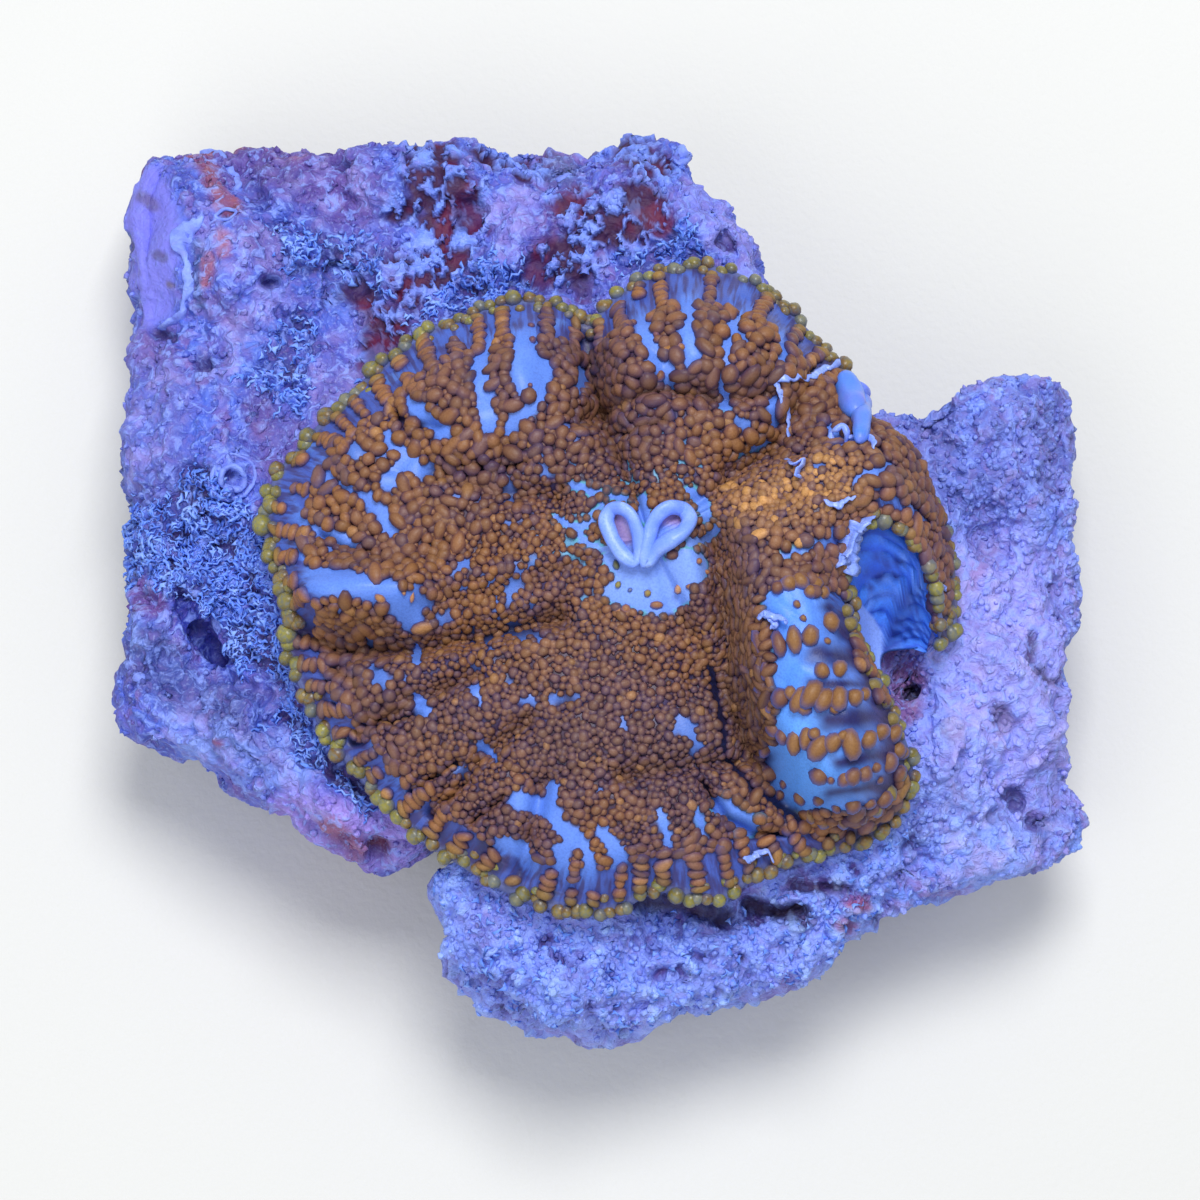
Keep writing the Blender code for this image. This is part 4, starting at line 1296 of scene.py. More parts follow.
# Parts of the disc where the beads' colour differs, two of them partly painted light or shade: line, reach,
# colour, strength.
BEAD_AREAS = (
    # Partly golden tint and partly a painted pool of light by the right fold.
    (((11.6, 7), (17.6, 9.4)), 2.6, "#c08a56", 0.85),
    (((-5, -2.4), (1, -3.6)), 3, "#a07046", 0.5),
    (((-4, -10), (4, -11), (9.6, -9)), 4, "#6a4e54", 0.75),
    (((16.6, 14.6), (14.8, 12)), 1.6, "#6a4440", 0.8),
    # Painted shade: darker beads on the puffed lobe's steep left flank.
    (((10.2, 0.6), (11.2, -6), (12.6, -11)), 2.2, "#64443e", 0.75),
    (((11.2, 5), (12.6, 1.2)), 1.6, "#5e4656", 0.75),
    (((-10, 8), (-4, 10.4), (2, 10.6)), 3.2, "#6c4a4a", 0.7),
    (((-17, -6), (-12, -10)), 3.4, "#6c4e4e", 0.6),
)
# The two loops in the mouth: places along each, and half the girth there.
MOUTH_LOOPS = (
    (
        (2.6, 2.75, 0.4), (1.7, 3.6, 0.56), (0.8, 4.9, 0.56), (0.45, 6.1, 0.54), (0.95, 6.9, 0.5),
        (1.8, 6.9, 0.5), (2.5, 6.2, 0.54), (2.85, 4.9, 0.56), (2.95, 3.7, 0.46),
    ),
    (
        (3.5, 2.65, 0.56), (3.7, 4.6, 0.56), (4.1, 6, 0.56), (5, 6.95, 0.54), (6.15, 6.95, 0.56),
        (6.8, 6.2, 0.58), (6.4, 5.3, 0.68), (5.4, 4.6, 0.8), (4.4, 3.9, 0.72),
    ),
)
# The blue swellings of the margin: places along each, and half the girth at them.
BLISTERS = (
    (((18.5, 17), (18.7, 16), (19.1, 14.8), (19.4, 13.8)), (0.6, 0.95, 1.05, 0.8)),
    (((19, 15.2), (19.7, 15.4), (20.3, 15.3), (20.6, 15)), (0.8, 1, 0.95, 0.75)),
    (((19.75, 15.2), (19.8, 14), (19.8, 12.8), (19.7, 11.7)), (0.9, 0.82, 0.74, 0.62)),
)
# Strands of mucus, and the numbers of the broad ones.
MUCUS_LINES = (
    ((13.2, 16.7), (14.4, 17), (15.6, 16.9), (16.8, 17.4), (17.8, 18), (18.6, 18.2)),
    ((13.3, 16.5), (13.8, 15.6), (14.2, 14.4), (14.4, 13.2), (14.1, 12.2)),
    ((14.2, 10.8), (14.8, 10.2), (15.5, 10.7), (15, 9.6), (15.4, 9.3)),
    ((18.9, 12.4), (19.6, 12.6), (20.3, 12.3), (20.9, 11.4)),
    ((17.9, 2.4), (18.3, 3.4), (19.4, 4.2), (20.4, 4.6), (21, 5.6)),
    ((18.4, 2), (19.2, 3.2), (20.2, 4), (21, 4.4)),
    ((18, 3.4), (18.8, 3.2), (19.6, 4.8), (20.2, 5.4)),
    ((11.8, -1.3), (12.8, -1), (13.8, -1.4), (14.2, -1.8)),
    ((12.4, -0.7), (13.2, -1.6), (12.8, -2.2)),
    ((10.9, -19.7), (11.8, -19.4), (12.6, -18.9), (13.2, -20.2)),
    ((25.4, 2.2), (25.7, 1.4), (26.2, 0.8)),
    ((16.9, 7.6), (18.2, 7.4), (19.6, 7.9)),
)
BROAD_MUCUS = (4, 5, 6)


@dataclass
class Sites:
    """Places to plant beads on, one row each: spot, normal, way outwards, size, and how far to the rim."""

    at: Array
    normal: Array
    outward: Array
    size: Array
    share: Array

    def stood(self, lift: Array) -> Array:
        """The spots raised along their normals by a share of the beads' heights."""
        return self.at + (lift * self.size[:, 2])[:, None] * self.normal


@dataclass
class Polyp:
    """The soft animal: disc, rim, hollow wall and foot, with its beads and filaments."""

    columns: int = 560
    disc_rows: int = 110
    lip_rows: int = 5
    wall_rows: int = 28
    bead_rows: int = 84
    rim_row: int = 212
    rim_strays: int = 110
    tries: int = 170000
    late_tries: int = 60000
    large_from: float = 0.44
    seed: int = 7
    rings: Array = field(init=False)
    shares: Array = field(init=False)

    def __post_init__(self) -> None:
        """Works out the rings."""
        stations = np.array(STATIONS)
        self.at = evenly_along(stations[:, :2], self.columns)
        self.rim = closed_spline(stations[:, :3], self.at)
        self.shoulder = closed_spline(stations[:, 3:], self.at)
        feet = stations[:, :2] + FOOT_TUCK * unit(stations[:, 3:5] - stations[:, :2])
        for station, foot in HOLLOW_FEET.items():
            feet[station] = foot
        self.foot = closed_spline(feet, self.at)
        self.shares = np.arange(1, self.disc_rows + 1) / self.disc_rows
        disc = np.stack([self.disc_ring(share) for share in self.shares])
        self.disc = disc.reshape(-1, 3)
        self.disc_drawn = drawn(self.disc)
        self.rings = np.concatenate([disc, self.under_rings(disc[-1])])

    def disc_ring(self, share: float) -> Array:
        """One ring of the disc.

        Args:
            share: How far it is from mouth to rim.

        Returns:
            Its points, mm.
        """
        mouth = np.tile((*MOUTH, MOUTH_LIFT), (self.columns, 1))
        if share <= SHOULDER_AT:
            start, end, span = mouth, self.shoulder, SHOULDER_AT
            slope_in, slope_out = (self.shoulder - mouth) / span, self.rim - mouth
            part = share / span
        else:
            start, end, span = self.shoulder, self.rim, 1.0 - SHOULDER_AT
            slope_in, slope_out = self.rim - mouth, (self.rim - self.shoulder) / span * 1.1
            part = (share - SHOULDER_AT) / span
        ring = (
            (2 * part**3 - 3 * part**2 + 1) * start
            + (part**3 - 2 * part**2 + part) * span * slope_in
            + (3 * part**2 - 2 * part**3) * end
            + (part**3 - part**2) * span * slope_out
        )
        plan = ring[:, :2]
        relief = 1.0 - float(smoothstep(share, 0.824, 1.0))
        lift = ring[:, 2] + relief * (self.folded(plan, ring[:, 2]) - ring[:, 2])
        return raised(plan, bed(plan) + np.maximum(lift, 1.6))

    def folded(self, plan: Array, lift: Array) -> Array:
        """Presses the creases and furrows into the disc and raises its swellings and its beads' cushions.

        Args:
            plan: Points in plan, mm.
            lift: Their lift above the stones.

        Returns:
            The new lift.
        """
        lift = lift.copy()
        for line, depth, half_width in CREASES + FURROWS:
            lift -= depth * near(plan, line, half_width)
        for start, end, height, radius in SWELLINGS:
            lift += height * near(plan, (start, end), radius)
        cushion, own = self.cushions(plan)
        beaded = smoothstep(from_mouth(plan), 4.5, 8.0)
        return lift + beaded * (cushion * (0.42 + 0.2 * own) + 0.2 * fine_noise(plan, 2.4, 5, 2))

    @staticmethod
    def cushions(plan: Array) -> tuple[Array, Array]:
        """The low cushions that the skin swells into between its smallest folds.

        Args:
            plan: Points in plan, mm.

        Returns:
            Each point's height on its cushion, from about -0.6 in a fold to 0.4, and its cushion's own value.
        """
        away, own = pebbles(plan + 0.9 * noises(plan, 4.0, (51, 52)), 3.1, 50)
        return np.clip(0.4 - 1.5 * away**3, -0.6, 0.4), own

    def under_rings(self, rim: Array) -> Array:
        """The rolled lip, the wall of the column with its ring wrinkles, and the foot.

        Args:
            rim: The disc's last ring.

        Returns:
            The rings, in order.
        """
        inwards = unit(self.foot - rim[:, :2])
        lip = rim[:, :2] + 0.12 * inwards
        low = bed(lip) + np.maximum(self.rim[:, 2] - RIM_THICKNESS, SEAT_GAP + 0.3)
        thick = rim[:, 2] - low
        rings = []
        for turn in np.linspace(0.0, np.pi, self.lip_rows + 2)[1:-1]:
            plan = rim[:, :2] - 0.35 * np.sin(turn) * inwards
            rings.append(raised(plan, rim[:, 2] - thick * (1.0 - np.cos(turn)) / 2.0))
        hollow = smoothstep(self.at, 28.0, 29.5) * (1.0 - smoothstep(self.at, 36.2, 37.2))
        for share in np.linspace(0.0, 1.0, self.wall_rows):
            plan = lip + share * (self.foot - lip)
            fall = 1.0 - float(smoothstep(share, 0.0, 1.0))
            floor = bed(plan) + SEAT_GAP
            ring = raised(plan, floor + (low - bed(lip) - SEAT_GAP) * fall)
            wave = 1.0 - 2.0 * self.wrinkles(ring, share)
            sheet, recess, membrane, dimple = self.hollow_parts(drawn(ring))
            push = 0.5 * sheet + 0.6 * membrane - 0.9 * recess - 0.55 * dimple
            push = push + 0.36 * wave * (1.0 - membrane)
            push = push * hollow * min(1.0, 1.6 * math.sin(math.pi * share))
            ring[:, :2] -= push[:, None] * inwards * 0.7
            ring[:, 2] = np.maximum(ring[:, 2] + 0.35 * push, floor)
            rings.append(ring)
        for share in (0.35, 0.7):
            plan = self.foot + share * (np.array(MOUTH) - self.foot)
            rings.append(raised(plan, bed(plan) + SEAT_GAP))
        return np.stack(rings)

    @staticmethod
    def wrinkles(points: Array, depth: Array | float) -> Array:
        """The wall's ring wrinkles, from 0 on a ridge to 1 in a valley, by how far down the wall they are."""
        warp = 0.8 * fine_noise(points, 3.4, 21, 2) + 0.9 * np.sin(0.8 * points[:, 0]) * 0.5
        return np.abs(np.sin(np.pi * (depth * 8.0 + warp)))

    @staticmethod
    def hollow_parts(seen: Array) -> tuple[Array, Array, Array, Array]:
        """What each point of the hollow's wall belongs to, from 0 to 1 each.

        Args:
            seen: Points' places in the drawing's plan, mm.

        Returns:
            The wrinkled sheet, the recess behind its edge, the pale membrane in front, and the dimples.
        """
        x, y = seen.T
        edge = np.interp(y, (-4.4, -2.6, -0.4, 1.2, 2.6), (21.4, 21.6, 22.2, 23.2, 25.2))
        front = np.interp(y, (-4.4, -2.6, -1.4, 0.4, 1.6), (21.4, 21.5, 20.8, 19.2, 18.2))
        membrane = 1.0 - smoothstep(x - front, -0.15, 0.2)
        behind = smoothstep(x - edge, -0.12, 0.2)
        recess = behind * np.exp(-((np.maximum(x - edge, 0.0) / 1.6) ** 2))
        dimple = np.zeros(len(x))
        for across, up, reach in HOLLOW_DIMPLES:
            dimple = np.maximum(dimple, np.exp(-(((x - across) ** 2 + 1.6 * (y - up) ** 2) / reach**2)))
        return (1.0 - behind) * (1.0 - membrane), recess, membrane, dimple

    @staticmethod
    def bare_share(seen: Array) -> Array:
        """How far each place of the drawing's plan is inside a strip of bare skin, from 0 to 1.

        Args:
            seen: Places in the drawing's plan, mm.

        Returns:
            One share a point.
        """
        fray = 0.22 * fine_noise(seen, 1.1, 61, 2)
        share = np.zeros(len(seen))
        for line, half_width in BARE_STRIPS:
            away = distance_to_line(seen, line) + fray
            share = np.maximum(share, 1.0 - smoothstep(away, half_width, half_width + 0.3))
        return share

    @staticmethod
    def window_share(plan: Array) -> Array:
        """How far each point is inside one of the small gaps between clusters of beads, from 0 to 1.

        Args:
            plan: Points in plan, mm.

        Returns:
            One share a point.
        """
        away = from_mouth(plan)
        wide = smoothstep(fine_noise(plan, 1.7, 77, 2), 0.5, 0.58) * smoothstep(away, 8.0, 11.0)
        crack = 1.0 - smoothstep(np.abs(fine_noise(plan, 3.4, 78, 3)), 0.026, 0.062)
        torn = smoothstep(fine_noise(plan, 5.0, 79), -0.15, 0.2)
        return np.maximum(wide, crack * torn * (1.0 - smoothstep(away, 14.0, 19.0)))

    def row_phase(self, column: Array, share: float) -> Array:
        """Where columns lie among the margin's rows of beads, counted in rows.

        Args:
            column: Places round the rim, in columns.
            share: Their place from mouth to rim.

        Returns:
            One value a column, a whole number and a half in the middle of a row.
        """
        turn = 2.0 * np.pi * column / self.columns
        ring = raised(np.column_stack([9.0 * np.cos(turn), 9.0 * np.sin(turn)]), 1.4 * share)
        return column / self.columns * self.bead_rows + 0.8 * fine_noise(ring, 1.6, 63, 2)

    def lobe_share(self, column: Array) -> Array:
        """How much of each column belongs to the puffed lobe at the right, whose beads stand in no rows."""
        station = np.interp(column, np.arange(self.columns), self.at)
        return smoothstep(station, 24.5, 26.0) * (1.0 - smoothstep(station, 40.0, 41.5))

    def skin_colours(self, points: Array, share: Array) -> Array:
        """Colours of the disc's skin: bright blue where bare, dark and brownish under the beads, with painted
        shade and light.

        Args:
            points: Points on the disc, mm.
            share: How far each is from mouth to rim.

        Returns:
            Linear colours.
        """
        plan, seen = points[:, :2], drawn(points)
        bare = self.bare_share(seen)
        blotch = fine_noise(points, 3.0, 3, 3)
        away = from_mouth(plan)
        window, close = self.window_share(plan), 1.0 - smoothstep(away, 6.0, 9.5)
        cushion, _ = self.cushions(plan)
        bare_edge = bare * (1.0 - bare) * 4.0
        margin = smoothstep(share, 0.78, 0.9) * (1.0 - smoothstep(share, 0.985, 1.0))
        shade = smoothstep(seen[:, 0], 17.0, 20.0) * (1.0 - smoothstep(seen[:, 1], -2.5, 0.5))
        lobe = bare * near(seen, ((14.0, -1.0), (14.6, -8.0), (16.4, -13.6)), 3.2)
        band_shade, groove_shade = np.zeros((2, len(points)))
        for line, half_width in LOBE_SHADE_BANDS:
            off = distance_to_line(seen, line) + 0.35 * fine_noise(seen * (1.0, 2.2), 1.3, 64, 2)
            band_shade = np.maximum(band_shade, np.exp(-((np.maximum(off, 0.0) / (1.3 * half_width)) ** 2)))
        for line, depth, half_width in CREASES + FURROWS:
            groove_shade = np.maximum(groove_shade, min(depth / 1.4, 1.0) * near(plan, line, half_width * 0.8))
        return blend(
            "#40293a",
            ("#3f4684", smoothstep(blotch, 0.0, 0.5) * 0.5),
            ("#4660bc", smoothstep(share, 0.7, 0.8) * 0.9 * (1.0 - smoothstep(seen[:, 0], 15.0, 18.0))),
            ("#5478cc", window * (1.0 - 0.5 * close)),
            ("#62a4cc", window * close),
            # Painted shade in the folds between the skin's cushions.
            ("#2c2038", smoothstep(-cushion, 0.1, 0.55) * 0.8),
            ("#5680e0", bare),
            ("#6f98f6", bare * (0.35 + 0.6 * blotch) * (1.0 - smoothstep(share, 0.7, 0.85))),
            ("#7a9ef2", bare * near(seen, ((1.4, 2.6), (6.2, 2.2)), 3.4) * 1.2),
            ("#58b0b4", bare_edge * (1.0 - smoothstep(away, 9.0, 14.0)) * 0.8),
            # Pinkish skin inside the two mouth loops, painted lighter than its own colour to offset the shade
            # there: partly painted light.
            ("#a48aba", 0.95 * near(seen, ((1.3, 6.2), (2.0, 4.8)), 0.65, 4)),
            ("#a48aba", 0.95 * near(seen, ((4.9, 6.3), (6.0, 6.3)), 0.65, 4)),
            # Painted shade: bare skin painted darker towards the margin.
            ("#4660bc", bare * margin * 0.85),
            ("#3a345e", shade * margin * 1.1),
            ("#5290f4", lobe * (0.85 + 0.5 * blotch)),
            # Painted light: the lower part of the puffed lobe painted brighter to offset the little light it
            # gets.
            ("#62a4ff", lobe * smoothstep(-seen[:, 1], 5.0, 11.0)),
            ("#56bcc0", bare_edge * near(seen, LOBE_SHADE, 4.2) * 0.9),
            # Painted shade in the bands between the lobe's rows of beads.
            ("#1e1650", band_shade * 0.98),
            # Painted shade in the creases and furrows.
            ("#1f1a3a", groove_shade * (1.0 - bare) * 0.95),
            ("#0e1230", near(seen, LOBE_SHADE, 0.55) * 0.95),
            ("#62668a", smoothstep(share, 0.965, 0.99) * 0.7),
            count=len(points),
        )

    def wall_colours(self, points: Array, ring: Array) -> Array:
        """Colours of the column's wall: strong blue with painted shade in its wrinkles, recess and dimples,
        and a pale membrane at its left.

        Args:
            points: Points, mm.
            ring: The number of each point's ring.

        Returns:
            Linear colours.
        """
        lines = self.wrinkles(points, (ring - self.disc_rows - self.lip_rows) / self.wall_rows)
        _, recess, membrane, dimple = self.hollow_parts(drawn(points))
        return blend(
            "#4688ff",
            # Painted shade in the wrinkles' valleys.
            ("#2450d4", smoothstep(lines, 0.5, 1.0) * 0.8),
            ("#2c54d4", smoothstep(drawn(points)[:, 1], 0.6, 3.0) * 0.5),
            ("#6c9cff", smoothstep(fine_noise(points, 1.2, 22, 2), 0.1, 0.5) * 0.6),
            # Painted shade in the recess behind the sheet's edge and in the dimples.
            ("#1c2a80", recess * 0.75),
            ("#28308c", dimple * (1.0 - membrane) * 0.85),
            ("#8cacff", membrane * 0.95),
            count=len(points),
        )

    def skin(self) -> None:
        """Builds and paints the skin."""
        top = np.array([*MOUTH, self.rings[0][:, 2].mean()])
        bottom = np.array([*MOUTH, float(bed(np.array(MOUTH))) + SEAT_GAP])
        piece = closed_grid("polyp_skin", self.rings, top, bottom)
        points = np.vstack([self.rings.reshape(-1, 3), top, top])
        rows = len(self.rings)
        share = np.concatenate([self.shares, np.full(rows - self.disc_rows, 1.0)])
        share = np.append(np.repeat(share, self.columns), (0.0, 1.0))
        ring = np.append(np.repeat(np.arange(rows), self.columns), (0, rows))
        under = ring >= self.disc_rows + self.lip_rows - 1
        colour = np.where(under[:, None], self.wall_colours(points, ring), self.skin_colours(points, share))
        paint(piece.data, "tint", colour)
        # Where the margin's stripes of painted groove shade go.
        margin = smoothstep(share, 0.74, 0.86) * (1.0 - smoothstep(share, 0.985, 1.0))
        paint(piece.data, "margin", np.where(under, 0.0, margin))
        tissue = LivingTissue("wet_polyp_skin", stripe_count=420.0, grain_dark="#2a3a86", grain_share=0.18)
        finish_piece(piece, tissue, Slot.POLYP, "polyp")

    def cluster_sites(self) -> Sites:
        """Picks where the disc's beads stand, as close as they fit, off bare skin and the margin's rows.

        Returns:
            Their sites.
        """
        rng = np.random.default_rng(self.seed)
        disc = self.rings[: self.disc_rows]
        low, high = 6, int(ROWS_TO * self.disc_rows)
        a, b = disc[low : high - 1], disc[low + 1 : high]
        down, across = b - a, np.roll(a, -1, axis=1) - a
        normal = np.cross(down, across)
        area = np.linalg.norm(normal, axis=-1)
        pick = rng.choice(area.size, self.tries, p=(area / area.sum()).ravel())
        late = np.arange(len(pick)) > self.tries - self.late_tries
        row, column = np.unravel_index(pick, area.shape)
        part = rng.random((len(pick), 2))
        at = a[row, column] + part[:, :1] * down[row, column] + part[:, 1:] * across[row, column]
        share = self.shares[low + row]
        seen = drawn(at)
        radius = self.bead_radius(seen, share) * (0.78 + 0.44 * rng.random(len(at)))
        radius = radius * np.where(late, 0.68, 1.0)
        gold = near(seen, ((11.4, 7.2), (14.0, 8.2), (17.4, 8.6)), 2.4)
        room = radius * (0.74 - 0.16 * gold) * np.where(late, 0.8, 1.0)
        radius = radius * 1.06
        keep = (self.bare_share(seen) < 0.4) & (self.window_share(at[:, :2]) < 0.5)
        keep &= (share < ROWS_FROM + 0.02) | (self.lobe_share(column) > 0.5)
        for line, _, half_width in FURROWS:
            keep &= distance_to_line(at[:, :2], line) > half_width * 0.8
        keep &= distance_to_line(seen, LOBE_SHADE) > 0.34
        order = np.flatnonzero(keep)
        order = order[self.spaced(at[order], room[order])]
        radius, share, seen = radius[order], share[order], seen[order]
        normal, outward = unit(normal[row[order], column[order]]), unit(down[row[order], column[order]])
        outer = smoothstep(radius, 0.38, 0.46)
        outward = swung(outward, normal, rng.standard_normal(len(order)) * np.radians(20.0 + 50.0 * outer))
        flank = near(seen, ((10.6, 0.6), (11.4, -6.0), (12.4, -12.0)), 2.0)
        stretch = 1.0 + 0.25 * rng.random(len(order)) + outer * (0.05 + 0.6 * (rng.random(len(order)) < 0.22))
        stretch = stretch + flank * (0.4 + 0.8 * rng.random(len(order)))
        size = np.column_stack([1.07 - 0.2 * flank, 1.04 * stretch, 0.9 + 0.1 * outer + 0.3 * flank])
        return Sites(at[order], normal, outward, radius[:, None] * size, share)

    def row_paths(self, used: Array) -> tuple[Array, Array]:
        """The middles of the margin's rows of beads.

        Args:
            used: The rings that the rows run over, by their shares.

        Returns:
            The rows' points and their places in columns, ring by ring.
        """
        columns = np.arange(self.columns)
        first = int(round(used[0] * self.disc_rows)) - 1
        middles = np.arange(self.bead_rows) + 0.5
        paths, places = [], []
        for number, share in enumerate(used):
            phase = self.row_phase(columns, share)
            order = np.argsort(phase)
            spot = np.interp(middles, phase[order], columns[order])
            low = np.floor(spot).astype(int)
            part = (spot - low)[:, None]
            ring = self.rings[first + number]
            paths.append((1.0 - part) * ring[low % self.columns] + part * ring[(low + 1) % self.columns])
            places.append(spot)
        return np.stack(paths), np.stack(places)

    def roll_sites(self) -> Sites:
        """Places the margin's rows of beads: short rolls stacked out to the rim, each across its row.

        Returns:
            Their sites.
        """
        rng = np.random.default_rng(self.seed + 2)
        used = self.shares[(self.shares >= ROWS_FROM - 0.06) & (self.shares <= ROWS_TO)]
        paths, places = self.row_paths(used)
        columns = np.arange(self.columns)
        lobes = np.interp(places, columns, self.lobe_share(columns))
        across = np.roll(paths, -1, axis=1) - paths
        found: list[tuple] = []
        for row in range(self.bead_rows):
            path = paths[:, row]
            length = running_length(np.linalg.norm(np.diff(path, axis=0), axis=1))
            at, girth = length[-1] - 0.15, 0.9 + 0.35 * rng.random()
            inner_end = length[-1] * rng.random() * 0.35
            while at > inner_end:
                here = [np.interp(at, length, path[:, axis]) for axis in range(3)]
                spot = int(np.clip(np.searchsorted(length, at), 1, len(length) - 1))
                aside = across[spot, row]
                room = np.linalg.norm(aside)
                wide = float(np.clip(0.33 * room * girth, 0.42, 0.78)) * (0.85 + 0.3 * rng.random())
                thick = 0.38 + 0.12 * rng.random()
                along = unit(path[spot] - path[spot - 1])
                if lobes[spot, row] < 0.5 and rng.random() > 0.04:
                    size = (thick, wide, 0.44 + 0.1 * rng.random())
                    found.append((here, unit(np.cross(along, aside)), along, size, used[spot]))
                at -= thick * (1.4 + 0.3 * rng.random())
        at, normal, outward, size, share = (np.array(column) for column in zip(*found))
        outward = swung(outward, normal, np.radians(14.0) * rng.standard_normal(len(at)))
        keep = self.bare_share(drawn(at)) < 0.5
        return Sites(at[keep], normal[keep], outward[keep], size[keep], share[keep])

    @staticmethod
    def bead_radius(seen: Array, share: Array) -> Array:
        """Size of the beads by place: small round the mouth, largest on the back lobes.

        Args:
            seen: Points' places in the drawing's plan, mm.
            share: How far each is from mouth to rim.

        Returns:
            Radii, mm.
        """
        x, y = seen.T
        away = np.minimum(np.hypot(x - 1.6, y - 1.0), 0.75 * np.hypot(x + 1.0, y + 7.0))
        away = np.minimum(away, 5.0 + 2.0 * distance_to_line(seen, ((8.0, 8.0), (13.0, 8.6), (17.0, 8.4))))
        radius = 0.325 + 0.15 * smoothstep(away, 8.5, 13.5) + 0.02 * smoothstep(share, 0.7, 0.9)
        return radius + 0.05 * (smoothstep(y, 13.5, 17.0) * smoothstep(x, 0.5, 3.0))

    @staticmethod
    def spaced(at: Array, room: Array) -> list[int]:
        """Takes points in turn, leaving out any that would crowd one already taken.

        Args:
            at: Points, mm.
            room: The radius that each wants for itself.

        Returns:
            The numbers of the points taken.
        """
        cell = 1.2
        taken: dict[tuple, list] = {}
        chosen = []
        cells = np.floor(at / cell).astype(int).tolist()
        steps = list(itertools.product((-1, 0, 1), repeat=3))
        for number, ((x, y, z), (i, j, k), own) in enumerate(zip(at.tolist(), cells, room.tolist())):
            crowded = any(
                (x - u) ** 2 + (y - v) ** 2 + (z - w) ** 2 < (own + other) ** 2
                for di, dj, dk in steps
                for u, v, w, other in taken.get((i + di, j + dj, k + dk), ())
            )
            if not crowded:
                taken.setdefault((i, j, k), []).append((x, y, z, own))
                chosen.append(number)
        return chosen

    def bead_colours(self, seen: Array, share: Array) -> Array:
        """Tints of the beads: orange-brown, golden with a painted pool of light by the right fold, duller and
        more purple at the front.

        Args:
            seen: Points' places in the drawing's plan, mm.
            share: How far each is from mouth to rim.

        Returns:
            Linear colours.
        """
        rng = np.random.default_rng(self.seed)
        odd = rng.random(len(seen))
        areas = ((colour, strength * near(seen, line, reach)) for line, reach, colour, strength in BEAD_AREAS)
        colour = blend(
            "#92603a",
            ("#6a4850", 0.36 + 1.1 * fine_noise(seen, 4.0, 40, 2)),
            *areas,
            ("#84702e", smoothstep(share, 0.935, 0.97) * 0.7),
            ("#54405e", (odd < 0.14) * 0.7),
            ("#c08c54", (odd > 0.97) * 0.5),
            # Painted highlights: scattered bright golden beads by the right fold.
            ("#e4a864", (odd > 1.0 - 0.2 * near(seen, ((11.6, 7.4), (17.0, 8.8)), 2.2)) * 0.8),
            count=len(seen),
        )
        bright = 0.56 + 0.18 * smoothstep(share, 0.6, 0.9)
        return colour * (bright + 0.32 * rng.random(len(seen)))[:, None]

    @staticmethod
    def turns(normal: Array, outward: Array) -> Array:
        """Angles that stand a shape on its normal with its first axis outwards.

        Args:
            normal: The normals.
            outward: The ways outwards.

        Returns:
            XYZ angles, one row each.
        """
        found = []
        for up, out in zip(normal, outward):
            up, out = Vector(up).normalized(), Vector(out)
            out = (out - out.dot(up) * up).normalized()
            found.append(tuple(Matrix((out, up.cross(out), up)).transposed().to_euler()))
        return np.array(found)

    def plant(
        self, name: str, shape: Piece, looks: tuple, spots: dict[str, Array], uneven: float,
        seed: int, sway: float,
    ) -> None:
        """Plants one piece's beads.

        Args:
            name: The piece's name.
            shape: The bead.
            looks: The planter and the beads' material.
            spots: What each bead has "at" its place, in mm: its "turn", "size", "tint" and "foot" colour.
            uneven: How far the beads' surfaces are pushed in and out, mm.
            seed: Which sway.
            sway: How far the beads tilt.
        """
        planter, finish = looks
        ground = bpy.data.meshes.new("sites")
        ground.from_pydata(to_frame(spots["at"]), [], [])
        for kind in ("turn", "size"):
            layer = ground.attributes.new(kind, "FLOAT_VECTOR", "POINT")
            layer.data.foreach_set("vector", spots[kind].ravel())
        for kind in ("tint", "foot"):
            paint(ground, kind, spots[kind])
        piece = planter.grow(name, ground, uneven, Shape=shape, Finish=finish, Seed=seed, Sway=sway)
        finish_piece(piece, None, Slot.POLYP)

    def beads(self, planter: Planter, finish: Material) -> None:
        """Plants the disc's beads in two pieces, the small ones round the mouth and the large ones beyond.

        Args:
            planter: Plants on points.
            finish: Their material.
        """
        rng = np.random.default_rng(self.seed + 4)
        kinds = (self.cluster_sites(), self.roll_sites())
        fields = Sites.__annotations__
        sites = Sites(*(np.concatenate([getattr(kind, name) for kind in kinds]) for name in fields))
        at = sites.stood(0.02 + 0.32 * rng.random(len(sites.at)))
        tint = self.bead_colours(drawn(sites.at), sites.share)
        # Painted shade: the smallest beads, which fill the gaps, are darkened to stand for the shade between
        # beads.
        tint = blend(tint, ("#5c3c3c", 0.6 * (1.0 - smoothstep(sites.size[:, 0], 0.22, 0.28))))
        # The foot colour: a little of the skin under the bead, darkened with painted shade for the bead's
        # lower sides.
        foot = 0.3 * self.skin_colours(sites.at, sites.share) + 0.7 * linear("#48385c")
        rows = list(LONE_BEADS)
        for x, y, radius, stretch, way in LOBE_BEADS:
